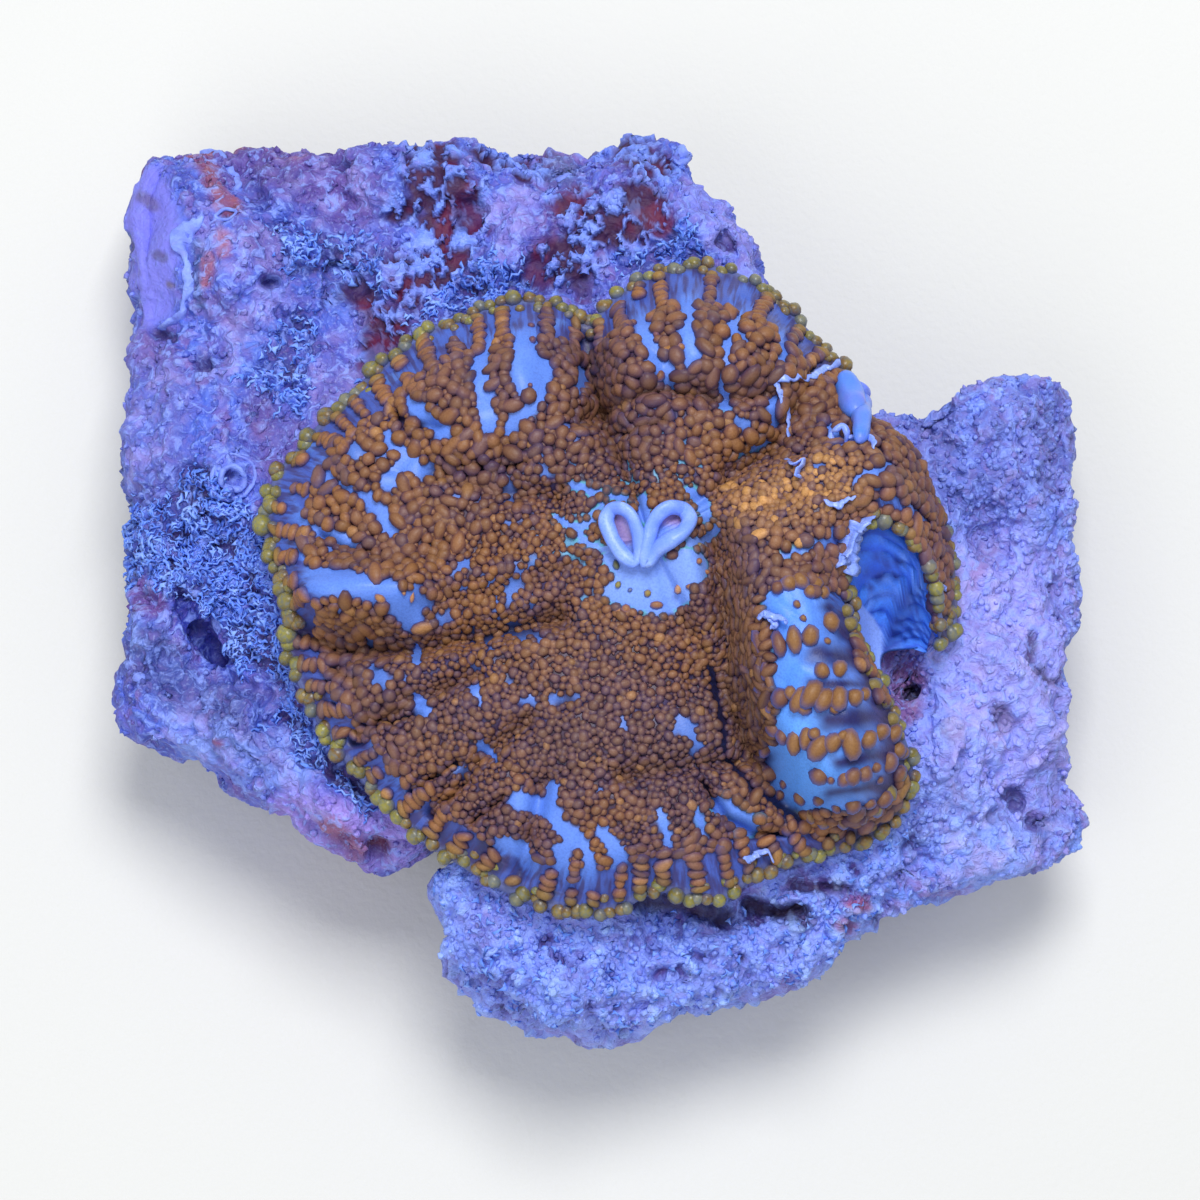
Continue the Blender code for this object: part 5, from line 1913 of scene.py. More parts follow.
            # Painted shade: beads on the lobe's left flank, below x 14, take a darker tint.
            hue = "#643e38" if x < 14.0 else "#7e562c" if y > -12.0 else "#6e4836"
            rows.append((x, y, 1.28 * radius, 0.92 * stretch, way, hue))
        for number, bead in enumerate(RIM_CHAIN):
            rows.append((*bead, "#7a5a34" if number in BROWN_RIM_BEADS else "#776c36"))
        lone = [np.array(column) for column in zip(*(self.lone_bead(*bead) for bead in rows))]
        spots = {
            "at": np.vstack([at, lone[0]]),
            "turn": self.turns(np.vstack([sites.normal, lone[1]]), np.vstack([sites.outward, lone[2]])),
            "size": np.vstack([sites.size, lone[3]]),
            "tint": np.vstack([tint, lone[4]]),
            "foot": np.vstack([foot, lone[5]]),
        }
        large = spots["size"].max(axis=1) >= self.large_from
        small_bead = knob("small_bead", 8, ((0.8, -0.4), (1, 0.1), (0.74, 0.66)))
        large_bead = knob("large_bead", 10, ((0.76, -0.5), (1, -0.05), (0.93, 0.42), (0.6, 0.82)))
        for name, part, shape in (("inner_beads", ~large, small_bead), ("outer_beads", large, large_bead)):
            chosen = {kind: values[part] for kind, values in spots.items()}
            self.plant(name, shape, (planter, finish), chosen, 0.16, 3, 0.22)

    def lone_bead(self, x: float, y: float, radius: float, stretch: float, turn: float, colour: str) -> tuple:
        """One bead that stands alone on bare skin.

        Args:
            x: Its place in the drawing's plan.
            y: The same, towards the back.
            radius: Its half width, mm.
            stretch: Its length in widths.
            turn: The way it points, in degrees.
            colour: Its tint.

        Returns:
            Its place, normal, direction, size, tint and foot.
        """
        at = self.on_disc(np.array([(x, y)]), 0.0)[0] + (0.0, 0.0, 0.1 * radius)
        way = math.radians(turn + 90.0)
        size = (radius, radius * stretch, radius)
        out = (math.cos(way), math.sin(way), 0.01)
        return at, (0.02, -0.05, 1.0), out, size, linear(colour), linear("#5068b8")

    def rim_beads(self, planter: Planter, finish: Material) -> None:
        """Plants the larger see-through beads along the rim.

        Args:
            planter: Plants on points.
            finish: Their material.
        """
        rng = np.random.default_rng(self.seed + 1)
        stations = np.array(STATIONS)
        at = evenly_along(stations[:, :2], self.rim_row) + 0.07 * rng.standard_normal(self.rim_row)
        at = np.append(at, rng.random(self.rim_strays) * len(stations)) % len(stations)
        count = len(at)
        stray = np.arange(count) >= self.rim_row
        rim = closed_spline(stations[:, :3], at)
        out = unit(rim[:, :2] - closed_spline(stations[:, 3:5], at))
        radius = 0.5 + 0.15 * rng.random(count) + 0.1 * (rng.random(count) < 0.12)
        radius = np.where(stray, 0.36 + 0.12 * rng.random(count), radius)
        reach = np.where(stray, -0.75, 0.08) + 0.28 * rng.standard_normal(count).clip(-1.2, 1.2)
        plan = rim[:, :2] + reach[:, None] * out
        lift = rim[:, 2] - 0.35 + 0.4 * rng.random(count) + 0.35 * stray
        kind = rng.random(count)
        colour = blend(
            "#776b33",
            ("#8e883a", (kind < 0.22) * 0.8),
            ("#7e5c30", ((kind > 0.6) | (stray & (kind > 0.3))) * 0.8),
            ("#667082", ((kind > 0.48) & (kind < 0.62)) * 0.6),
            count=count,
        )
        colour = colour * (0.68 + 0.3 * rng.random(count))[:, None]
        swell = 0.22 * smoothstep(-plan[:, 0], 12.0, 18.0) * smoothstep(plan[:, 1], -9.0, -3.0)
        radius = radius * (1.0 + swell)
        spots = {
            "at": raised(plan, bed(plan) + lift),
            "turn": self.turns(unit(raised(0.7 * out, 0.8)), raised(out)),
            "size": np.column_stack([radius * 1.02, radius * (0.9 + 0.25 * rng.random(count)), radius]),
            "tint": colour,
            "foot": blend("#4c5a94", count=count),
        }
        shape = knob("rim_bead", 10, ((0.5, -0.85), (0.88, -0.4), (1.0, 0.05), (0.88, 0.5), (0.52, 0.85)))
        self.plant("rim_beads", shape, (planter, finish), spots, 0.09, 5, 0.35)

    def on_disc(self, seen: Array, lift: float) -> Array:
        """Points that stand a lift over places of the drawing's plan, mm."""
        spots = np.asarray(seen) - (0.0, 0.22 * lift)
        nearest = [np.argmin(((self.disc_drawn - spot) ** 2).sum(axis=1)) for spot in spots]
        return self.disc[nearest] + (0.0, 0.0, lift)

    def filaments(self) -> None:
        """Makes the two pale loops that stand out of the mouth."""
        parts = []
        for loop in MOUTH_LOOPS:
            knots = np.array(loop)
            curve = closed_spline(knots, np.linspace(0.0, len(knots), 80, endpoint=False))
            path = smoothed(self.on_disc(curve[:, :2], 0.85), 10, closed=True)
            radius = 0.05 + curve[:, 2] + 0.03 * np.sin(np.linspace(0.0, 8.0 * np.pi, len(path)))
            parts.append(tube(path, np.column_stack([radius, 0.72 * radius]), 16, True))
        tissue = LivingTissue(
            "mouth_filament_tissue", grain_dark="#6488e8", grain_share=0.3, roughness=0.35, coat=0.3,
            subsurface=0.2,
        )
        strands("mouth_filaments", parts, "#7b9cfa", "#a2beff", lambda at: fine_noise(at, 0.9, 8, 2), tissue)

    def blisters(self) -> None:
        """Makes the smooth blue thumb that the margin swells into at the right, and its little neighbour."""
        parts, count = [], 26
        for line, girth in BLISTERS:
            path = self.on_disc(open_spline(np.array(line), count), 0.0) + np.array((0.0, 0.1, 1.1))
            path = smoothed(path, 12, closed=False)
            radius = open_spline(np.array(girth)[:, None], count)[:, 0]
            round_end = np.sqrt(np.clip(1.0 - (np.abs(np.linspace(-1.0, 1.0, count)) ** 6), 0.02, 1.0))
            shape, faces = tube(path, radius * round_end, 18, False)
            parts.append((shape + 0.12 * fine_noise(shape, 1.2, 12)[:, None], faces))
        tissue = LivingTissue(
            "blister_tissue", grain_dark="#4a66d0", grain_share=0.2, roughness=0.3, subsurface=0.2
        )
        strands(
            "margin_blisters", parts, "#5486ea", "#7a7ee2", lambda at: 0.2 + fine_noise(at, 1.6, 14, 2),
            tissue,
        )

    def mucus(self) -> None:
        """Makes the pale strands and crumpled threads of mucus that cling to the disc."""
        parts = []
        for number, strand in enumerate(MUCUS_LINES):
            path = open_spline(np.array(strand), 9 * len(strand))
            path = self.on_disc(path + 0.16 * noises(path, 0.5, (60 + number, 80 + number)), 0.75)
            path[:, 2] += 0.35 * fine_noise(path, 0.6, number, 2)
            path = smoothed(path, 1, closed=True)[1:-1]
            order = np.arange(len(path))
            taper = smoothstep(np.minimum(order, order[::-1]), -1.0, 3.0)
            broad = 0.78 if number in BROAD_MUCUS else 0.3
            wide = broad * taper * (1.0 + 0.8 * fine_noise(path, 0.5, 90 + number, 2))
            thick = 0.09 * (0.4 + 0.6 * taper)
            parts.append(tube(path, np.column_stack([np.maximum(wide, 0.04), thick]), 6, False))
        turn = np.linspace(0.0, 2.0 * np.pi, 28, endpoint=False)
        middle = self.on_disc(np.array([(18.1, 12.4)]), 0.8)[0]
        path = middle + 0.56 * np.column_stack([np.cos(turn), 1.2 * np.sin(turn), 0.5 * np.sin(turn + 0.6)])
        path += 0.25 * noises(path, 0.7, (33, 34, 35))
        parts.append(tube(path, 0.22 + 0.16 * fine_noise(path, 0.5, 31, 2), 8, True))
        tissue = LivingTissue("slack_mucus", grain_dark="#5a78e0", grain_share=0.4, roughness=0.3, coat=0.4)
        strands("mucus_strands", parts, "#86a2fa", "#c4d2ff", lambda at: fine_noise(at, 0.4, 9, 2), tissue)


# ---------------------------------------------------------------- stones
class Crust(Enum):
    """What covers a stone."""

    SMOOTH = "smooth coralline crust"
    TURF = "net of pale turf over brownish crust"
    LACE = "ragged pale lace over crimson crust"
    GRAIN = "pebbly crust"
    SPONGE = "spongy crust full of pores"
    CHALK = "low chalky crust"


@dataclass(frozen=True)
class Patch:
    """A patch of crust: a chain of points in the drawing's plan, its half width and its colour."""

    line: tuple
    half_width: float
    colour: str = "#000000"
    strength: float = 1.0
    ragged: float = 0.9
    soft: float = 0.35

    def share(self, seen: Array, unevenness: Array) -> Array:
        """How much of the patch there is at each point.

        Args:
            seen: Points' places in the drawing's plan, mm.
            unevenness: Noise that frays the patch's edge.

        Returns:
            Shares from 0 to the patch's strength.
        """
        away = distance_to_line(seen, self.line) + self.ragged * unevenness
        inner, outer = self.half_width - self.soft, self.half_width + self.soft
        return self.strength * (1.0 - smoothstep(away, inner, outer))


@dataclass
class Stone:
    """One piece of rubble with its crust, turf and lace."""

    name: str
    slot: Slot
    outline: tuple
    middle: tuple
    seed: int
    base: str
    other: str
    patches: tuple
    zones: dict
    hollows: tuple
    everywhere: Crust = Crust.GRAIN
    crumbly: float = 0.8
    shade: str = "#26122e"
    pitted: float = 0.15
    inside: tuple = ()
    tone: tuple = (1.0, 1.0, 1.0)
    worn: tuple = ()
    columns: int = 660
    rows_under: int = 12
    top_rings: int = 92
    side_rings: int = 36
    seat_corners: int = 160
    wander: float = 14.0

    def __post_init__(self) -> None:
        """Works out the rim of the polyp's seat, and the floor of the hollow beside it."""
        stations = np.array(STATIONS)
        rim = closed_spline(stations[:, :2], evenly_along(stations[:, :2], self.seat_corners))
        self.seat = np.vstack([rim, rim[:1]])
        feet = np.array([HOLLOW_FEET[number] for number in sorted(HOLLOW_FEET)])
        self.hollow = np.vstack([stations[28:37, :2], feet[::-1] + (0.0, -0.6)])

    def free_share(self, plan: Array) -> Array:
        """How clear of the polyp each point is, from 0 under it to 1 at 4 mm from its rim."""
        away = distance_to_line(plan, self.seat)
        return np.where(inside(plan, self.seat[:-1]), 0.0, smoothstep(away, 0.3, 4.0))

    def relief(self, plan: Array, edge: Array) -> Array:
        """The stone's broad lumps, pits and sloping edges above or below the common bed, as in its solid.

        Args:
            plan: Points in plan, mm.
            edge: The stone's outline.

        Returns:
            Heights above the bed, mm.
        """
        free = self.free_share(plan)
        points = raised(plan)
        relief = 1.5 * rough(points, 9.0, self.seed) + 1.1 * rough(points, 4.5, self.seed + 1) - 0.6
        for x, y, radius, height in LUMPS:
            relief += height * near_spot(plan, x, y, radius)
        to_edge = distance_to_line(plan, np.vstack([edge, edge[:1]]))
        relief -= EDGE_DROP * (1.0 - smoothstep(to_edge, 0.0, EDGE_WIDTH)) ** 1.5
        seat = -0.3 - 0.2 * (1.0 + rough(points, 3.0, self.seed + 2))
        relief = free * relief + (1.0 - free) * seat
        for x, y, radius, depth in PITS:
            relief -= depth * near_spot(plan, x, y, radius)
        return np.minimum(relief, 3.2 * free)

    def columns_along(self, edge: Array) -> Array:
        """Places of the columns along the outline, counted in its corners, closer where the stone shows.

        Args:
            edge: The outline's corners.

        Returns:
            One place a column.
        """
        fine = np.linspace(0.0, len(edge), 24 * len(edge) + 1)
        points = closed_spline(edge, fine)
        steps = np.linalg.norm(np.diff(points, axis=0), axis=1)
        steps *= np.where(inside(points[:-1], self.seat[:-1]), 0.3, 1.0)
        length = running_length(np.mean([np.roll(steps, shift) for shift in range(-12, 13)], axis=0))
        return np.interp(np.arange(self.columns) / self.columns * length[-1], length, fine)

    def leaving_share(self, shoulder: Array) -> Array:
        """How far along each column the polyp's seat ends.

        Args:
            shoulder: The columns' outer ends.

        Returns:
            One share a column.
        """
        middle = np.array(self.middle)
        last = np.full(len(shoulder), 0.2)
        for step in np.linspace(0.05, 1.0, 60):
            last = np.where(inside(middle + step * (shoulder - middle), self.seat[:-1]), step, last)
        last = np.where(last > 0.93, 0.5, last) - 0.03
        return np.mean([np.roll(last, shift) for shift in range(-8, 9)], axis=0)

    def rings(self) -> Array:
        """The rings of the stone's broad form, from its top's middle to its base.

        Returns:
            The rings, from the top down.
        """
        # The solid's outline has corners; the crust rounds it off between them.
        coarse = closed_spline(self.outline, evenly_along(np.array(self.outline), OUTLINE_CORNERS))
        edge = closed_spline(coarse, self.columns_along(coarse))
        middle = np.array([self.middle])
        outwards = unit(edge - middle)
        profile = np.array(STONE_SIDE)
        shoulder = edge - profile[0, 0] * outwards
        leave = self.leaving_share(shoulder)[None]
        clear_rings = self.top_rings - self.rows_under
        under = (np.arange(1, self.rows_under + 1) / self.rows_under)[:, None] ** 0.7
        clear = (np.arange(1, clear_rings + 1) / clear_rings)[:, None]
        shares = np.vstack([leave * under, leave + (1.0 - leave) * clear])
        plan = (middle[None] + shares[:, :, None] * (shoulder - middle)[None]).reshape(-1, 2)
        tops = raised(plan, bed(plan) + self.relief(plan, coarse)).reshape(self.top_rings, self.columns, 3)
        height = tops[-1, :, 2]
        rings = []
        for at in np.linspace(0.0, len(profile) - 1.0, self.side_rings + 1)[1:]:
            inset, share, wear = (np.interp(at, np.arange(len(profile)), profile[:, k]) for k in range(3))
            points = raised(edge - inset * outwards, share * height)
            wear *= float(smoothstep(at, 0.0, 1.0))
            worn = 0.5 + 0.6 * rough(points, 9.0, self.seed + 3) + 0.4 * rough(points, 4.0, self.seed + 4)
            points[:, :2] -= np.maximum(wear * worn, 0.0)[:, None] * outwards
            if share > 0.0:
                points[:, 2] += 0.8 * rough(points, 6.0, self.seed + 5) * float(smoothstep(share, 0.0, 0.12))
            points[:, 2] = np.maximum(points[:, 2], 0.0)
            rings.append(points)
        base = rings[-1][:, :2]
        rings.append(raised(middle + 0.5 * (base - middle)))
        return np.concatenate([tops, np.stack(rings)])

    def cover(self, seen: Array, fray: Array) -> dict[Crust, Array]:
        """How much of each kind of crust there is at each point.

        Args:
            seen: Points' places in the drawing's plan, mm.
            fray: Noise that frays the zones' edges.

        Returns:
            Shares from 0 to 1 by kind.
        """
        found = {kind: np.zeros(len(seen)) for kind in Crust}
        for kind, zones in self.zones.items():
            for line, half_width in zones:
                share = Patch(line, half_width, soft=0.6, ragged=1.6).share(seen, fray)
                for other in Crust:
                    found[other] = found[other] * (1.0 - share)
                found[kind] = found[kind] + share
        found[self.everywhere] = found[self.everywhere] + np.clip(1.0 - sum(found.values()), 0.0, 1.0)
        return found

    def detail(self, points: Array, cover: dict[Crust, Array]) -> dict[str, Array]:
        """The crust's fine relief.

        Args:
            points: Points on the broad form, mm.
            cover: How much of each crust there is.

        Returns:
            The "height" in mm, how far it is from a valley to a "crest", each grain's and lump's "own" value,
            the "lace", the "cut" of the larger hollows and the "pore".
        """
        seed = self.seed
        bent = points + 0.8 * noises(points, 2.0, (seed + 24, seed + 25, seed + 26), 2)
        lump, own_lump = pebbles(bent, 3.2, seed + 34)
        lump = np.clip(0.35 - 1.3 * lump**3, -0.7, 0.35)
        grain, own = pebbles(bent, 1.15, seed + 30)
        grain = np.clip(1.0 - 1.55 * grain, -0.4, 1.0) * (0.7 + 0.6 * own)
        net = 1.0 - np.clip(np.abs(fine_noise(bent, 1.8, seed + 31, 3)) / 0.26, 0.0, 1.0)
        pore, own_pore = pebbles(bent, 1.6, seed + 36)
        pore = np.exp(-((pore / 0.46) ** 2)) * np.clip(0.62 + 0.5 * own_pore, 0.0, 1.0)
        thread = 0.5 - np.abs(fine_noise(points, 0.8, seed + 39, 2)) / 0.2
        lace = smoothstep(fine_noise(bent, 1.25, seed + 37, 4) + 0.2 * thread, -0.1, -0.02)
        cut = smoothstep(fine_noise(points, 5.0, seed + 38, 3), 0.24, 0.42)
        broad = fine_noise(points, 4.2, seed + 32, 3)
        fine = fine_noise(bent, 1.0, seed + 33, 2)
        smooth, turf, lacy, grainy, spongy, chalky = (cover[kind] for kind in Crust)
        crest = (
            smooth * (0.5 + 0.5 * lump)
            + turf * (0.75 * net + 0.25 * grain)
            + lacy * lace
            + grainy * (0.25 + 0.75 * grain)
            + spongy * (1.0 - pore) * (0.4 + 0.6 * grain)
            + chalky * (0.35 + 0.4 * grain)
        )
        height = (
            smooth * (0.25 * lump + 0.12 * fine + 0.12 * grain)
            + turf * (1.15 * net + 0.2 * grain - 0.8 + 0.5 * lump - 0.8 * cut)
            + chalky * (0.42 * grain + 0.8 * lump + 0.4 * fine)
            + lacy * (0.6 * lace - 0.4 + 0.3 * fine + 0.15 * grain + 0.4 * lump)
            + grainy * (0.5 * grain - 0.15 + 0.7 * lump + 0.35 * fine - self.pitted * pore)
            + spongy * (0.4 - 1.35 * pore + 0.55 * grain + 0.5 * lump)
            + 0.7 * broad * (1.0 - 0.6 * smooth)
            - 0.6 * cut * (1.0 - smooth)
        )
        found = {"height": height, "crest": np.clip(crest, 0.0, 1.0), "own": own, "lump": own_lump}
        return found | {"lace": lace, "cut": cut, "pore": pore}

    def sunk(self, seen: Array, fray: Array) -> tuple[Array, Array]:
        """The caves, holes and cracks in the crust.

        Args:
            seen: Points' places in the drawing's plan, mm.
            fray: Noise that frays their edges.

        Returns:
            Depth in mm, and how far into a hole each point is, from 0 to 1.
        """
        depth, dark = np.zeros(len(seen)), np.zeros(len(seen))
        for line, half_width, deep in self.hollows:
            away = distance_to_line(seen, line) + 0.5 * half_width * fray
            share = 1.0 - smoothstep(away, 0.35 * half_width, half_width + 0.25)
            depth, dark = np.maximum(depth, deep * share), np.maximum(dark, share * min(deep / 1.6, 1.0))
        return depth, dark

    @staticmethod
    def side_share(points: Array, normal: Array) -> Array:
        """How far each point is down a side or the back, where the zones wander, from 0 to 1."""
        steep = 1.0 - smoothstep(normal[:, 2], 0.05, 0.5)
        return steep * smoothstep(normal[:, 1], -0.6, -0.1) * (1.0 - smoothstep(points[:, 2], 14.0, 20.0))

    def build(self) -> Piece:
        """Builds and paints the stone.

        Returns:
            The piece.
        """
        rings = self.rings()
        across = np.roll(rings, -1, axis=1) - np.roll(rings, 1, axis=1)
        normal = unit(np.cross(np.gradient(rings, axis=0), across)).reshape(-1, 3)
        points = rings.reshape(-1, 3)
        plan, seen = points[:, :2], drawn(points)
        fray = fine_noise(points, 3.0, self.seed + 20, 4)
        side = self.side_share(points, normal)
        zoned = seen + self.wander * side[:, None] * noises(points, 9.0, (self.seed + 60, self.seed + 61), 2)
        cover = self.cover(zoned, fray)
        bumpy = cover[Crust.SMOOTH] * side
        cover[Crust.SMOOTH] = cover[Crust.SMOOTH] - bumpy
        cover[self.everywhere] = cover[self.everywhere] + bumpy
        fine = self.detail(points, cover)
        for line, half_width in self.worn:
            share = Patch(line, half_width, soft=0.5, ragged=1.2).share(zoned, fray)
            fine["height"] = fine["height"] - 0.5 * share * fine["lace"] * cover[Crust.LACE]
            fine["lace"] = fine["lace"] * (1.0 - share)
        depth, fine["dark"] = self.sunk(zoned, fray)
        free = self.free_share(plan)
        base_share = smoothstep(points[:, 2], 0.0, 1.5)
        moved = points + ((fine["height"] - depth) * (0.2 + 0.8 * free) * base_share)[:, None] * normal
        moved[:, 2] = np.where(base_share < 1e-6, 0.0, np.maximum(moved[:, 2], 0.02 * base_share))
        covered = (free <= 0.0) | inside(plan, self.hollow)
        moved[:, 2] = np.where(covered, np.minimum(moved[:, 2], bed(plan) + 0.1), moved[:, 2])
        rings = moved.reshape(rings.shape)
        top = np.array([*self.middle, rings[0][:, 2].mean()])
        piece = closed_grid(self.name + "_crust", rings, top, np.array([*self.middle, 0.0]))
        colour = self.colours(points, zoned, cover, fine, fray)
        paint(piece.data, "tint", np.vstack([colour, colour[:1], colour[-1:]]))
        crusted = 1.0 - 0.78 * cover[Crust.SMOOTH] - 0.94 * cover[Crust.LACE] * (1.0 - fine["lace"])
        crusted = crusted * (1.0 - 0.9 * fine["dark"])
        paint(piece.data, "laced", np.append(np.clip(crusted, 0.0, 1.0), (0.0, 0.0)))
        upward = smoothstep(normal[:, 2], 0.1, 0.5) * (free > 0.04) * (1.0 - fine["dark"])
        upward = upward * smoothstep(points[:, 2], 3.0, 6.0)
        turf, pebbly = cover[Crust.TURF], cover[Crust.GRAIN] + cover[Crust.SPONGE]
        proud = smoothstep(fine["crest"], 0.05, 0.5)
        ragged = 4.0 * fine["lace"] * (1.0 - fine["lace"])
        sparser = 1.0 - 0.55 * smoothstep(seen[:, 1], 9.0, 15.0)
        self.grow = {
            "tufts": turf * (0.3 + 0.7 * proud) * sparser * upward,
            "shreds": (turf * (0.35 + 0.65 * proud) + 0.5 * cover[Crust.SPONGE] * proud) * upward,
            "flakes": (cover[Crust.LACE] * np.maximum(ragged, 0.35 * fine["lace"]) + 0.06 * pebbly) * upward,
            "crumbs": (self.crumbly * pebbly * (0.4 + 0.6 * proud) + 0.25 * cover[Crust.CHALK]) * upward,
        }
        self.points, self.seen = moved, seen
        return piece

    def grown_on(self, piece: Piece, kind: str) -> Mesh:
        """A copy of the stone's mesh that says where one kind of growth stands."""
        mesh = piece.data.copy()
        paint(mesh, "grow", np.append(self.grow[kind], (0.0, 0.0)))
        return mesh

    def surface(self, x: float, y: float) -> Array:
        """The point of the crust at a place of the drawing's plan."""
        away = ((self.seen - (x, y)) ** 2).sum(axis=1) + 1e3 * (self.points[:, 2] < 6.0)
        return self.points[int(np.argmin(away))]

    def colours(
        self,
        points: Array,
        seen: Array,
        cover: dict[Crust, Array],
        fine: dict[str, Array],
        fray: Array,
    ) -> Array:
        """Colours of the crust at each point, with painted shade in its hollows and under the polyp and
        painted highlights on its crests.

        Args:
            points: Points, mm.
            seen: Their places in the drawing's plan, mm.
            cover: How much of each crust there is.
            fine: The fine relief.
            fray: Noise that frays the patches.

        Returns:
            Linear colours.
        """
        broad = fine_noise(points, 7.0, self.seed + 40, 3)
        middling = fine_noise(points, 2.4, self.seed + 41, 3)
        pinkish = smoothstep(fine_noise(points, 1.6, self.seed + 43, 2), 0.05, 0.35)
        crest, own, lump, lace, pore = (fine[name] for name in ("crest", "own", "lump", "lace", "pore"))
        smooth, turf, lacy, grainy, spongy, chalky = (cover[kind] for kind in Crust)
        uneven = 1.0 - smooth
        brownish = smoothstep(middling, -0.1, 0.25)
        crimson = lacy * (1.0 - lace)
        # How low a point lies between crests, for painted shade.
        valley = np.clip(1.0 - 1.8 * crest, 0.0, 1.0) * uneven * (1.0 - lacy)
        low = 1.0 - smoothstep(points[:, 2], 2.0, 10.0)
        colour = blend(
            self.base,
            (self.other, smoothstep(broad, -0.1, 0.4) * 0.8),
            ("#5a7ae6", smoothstep(-broad, 0.0, 0.45) * 0.6),
            ("#8a70bc", smoothstep(middling, 0.08, 0.45) * 0.6),
            ("#86a4ff", smoothstep(lump, 0.3, 1.0) * 0.45),
            ("#946aa8", smoothstep(own, 0.4, 0.9) * 0.65 * grainy),
            ("#3c48a8", smoothstep(-own, 0.3, 0.9) * 0.7 * grainy),
            ("#bab4fc", smoothstep(own, 0.3, 0.9) * 0.6 * chalky),
            ("#7c70c4", smoothstep(-own, 0.4, 0.9) * 0.6 * chalky),
            ("#5076de", turf * 0.75),
            ("#443064", turf * brownish * (1.0 - crest) * 0.9),
            # Painted shade in the low parts of the turf.
            ("#2c44a4", turf * (1.0 - crest) * 0.55),
            *((patch.colour, patch.share(seen, fray)) for patch in self.patches),
            ("#400a34", crimson * 0.97),
            ("#6e0a3a", crimson * smoothstep(middling, -0.1, 0.3) * 0.75),
            ("#7f9cf8", lacy * lace * (0.7 - 0.5 * smoothstep(middling, 0.0, 0.4))),
            # Painted highlight on the sponge's crests.
            ("#a6c0ff", smoothstep(crest, 0.4, 0.85) * 0.75 * spongy),
            ("#c0b0f4", pinkish * 0.45 * chalky),
            # Painted shade in valleys, pores, pits and the larger cuts.
            ("#544fa8", valley * (0.5 + 0.3 * spongy)),
            ("#241d54", valley * turf * (0.45 + 0.4 * brownish)),
            ("#4a3a86", smoothstep(pore, 0.35, 0.8) * spongy * 0.85),
            ("#5a4a9c", smoothstep(pore, 0.5, 0.9) * grainy * self.pitted),
            ("#34307a", fine["cut"] * uneven * 0.3),
            # Painted highlight on crests.
            ("#98b2ff", smoothstep(crest, 0.5, 0.95) * uneven * (0.6 - 0.4 * lacy + 0.2 * turf)),
            ("#4c4f96", low * 0.35),
            # Painted shade inside caves, holes and cracks.
            (self.shade, fine["dark"] * 0.85),
            *((patch.colour, patch.share(seen, fray)) for patch in self.inside),
            # Painted shade where the polyp covers the crust.
            ("#1c1f4a", (self.free_share(points[:, :2]) <= 0.0) * 0.6),
            count=len(points),
        )
        return colour * self.tone


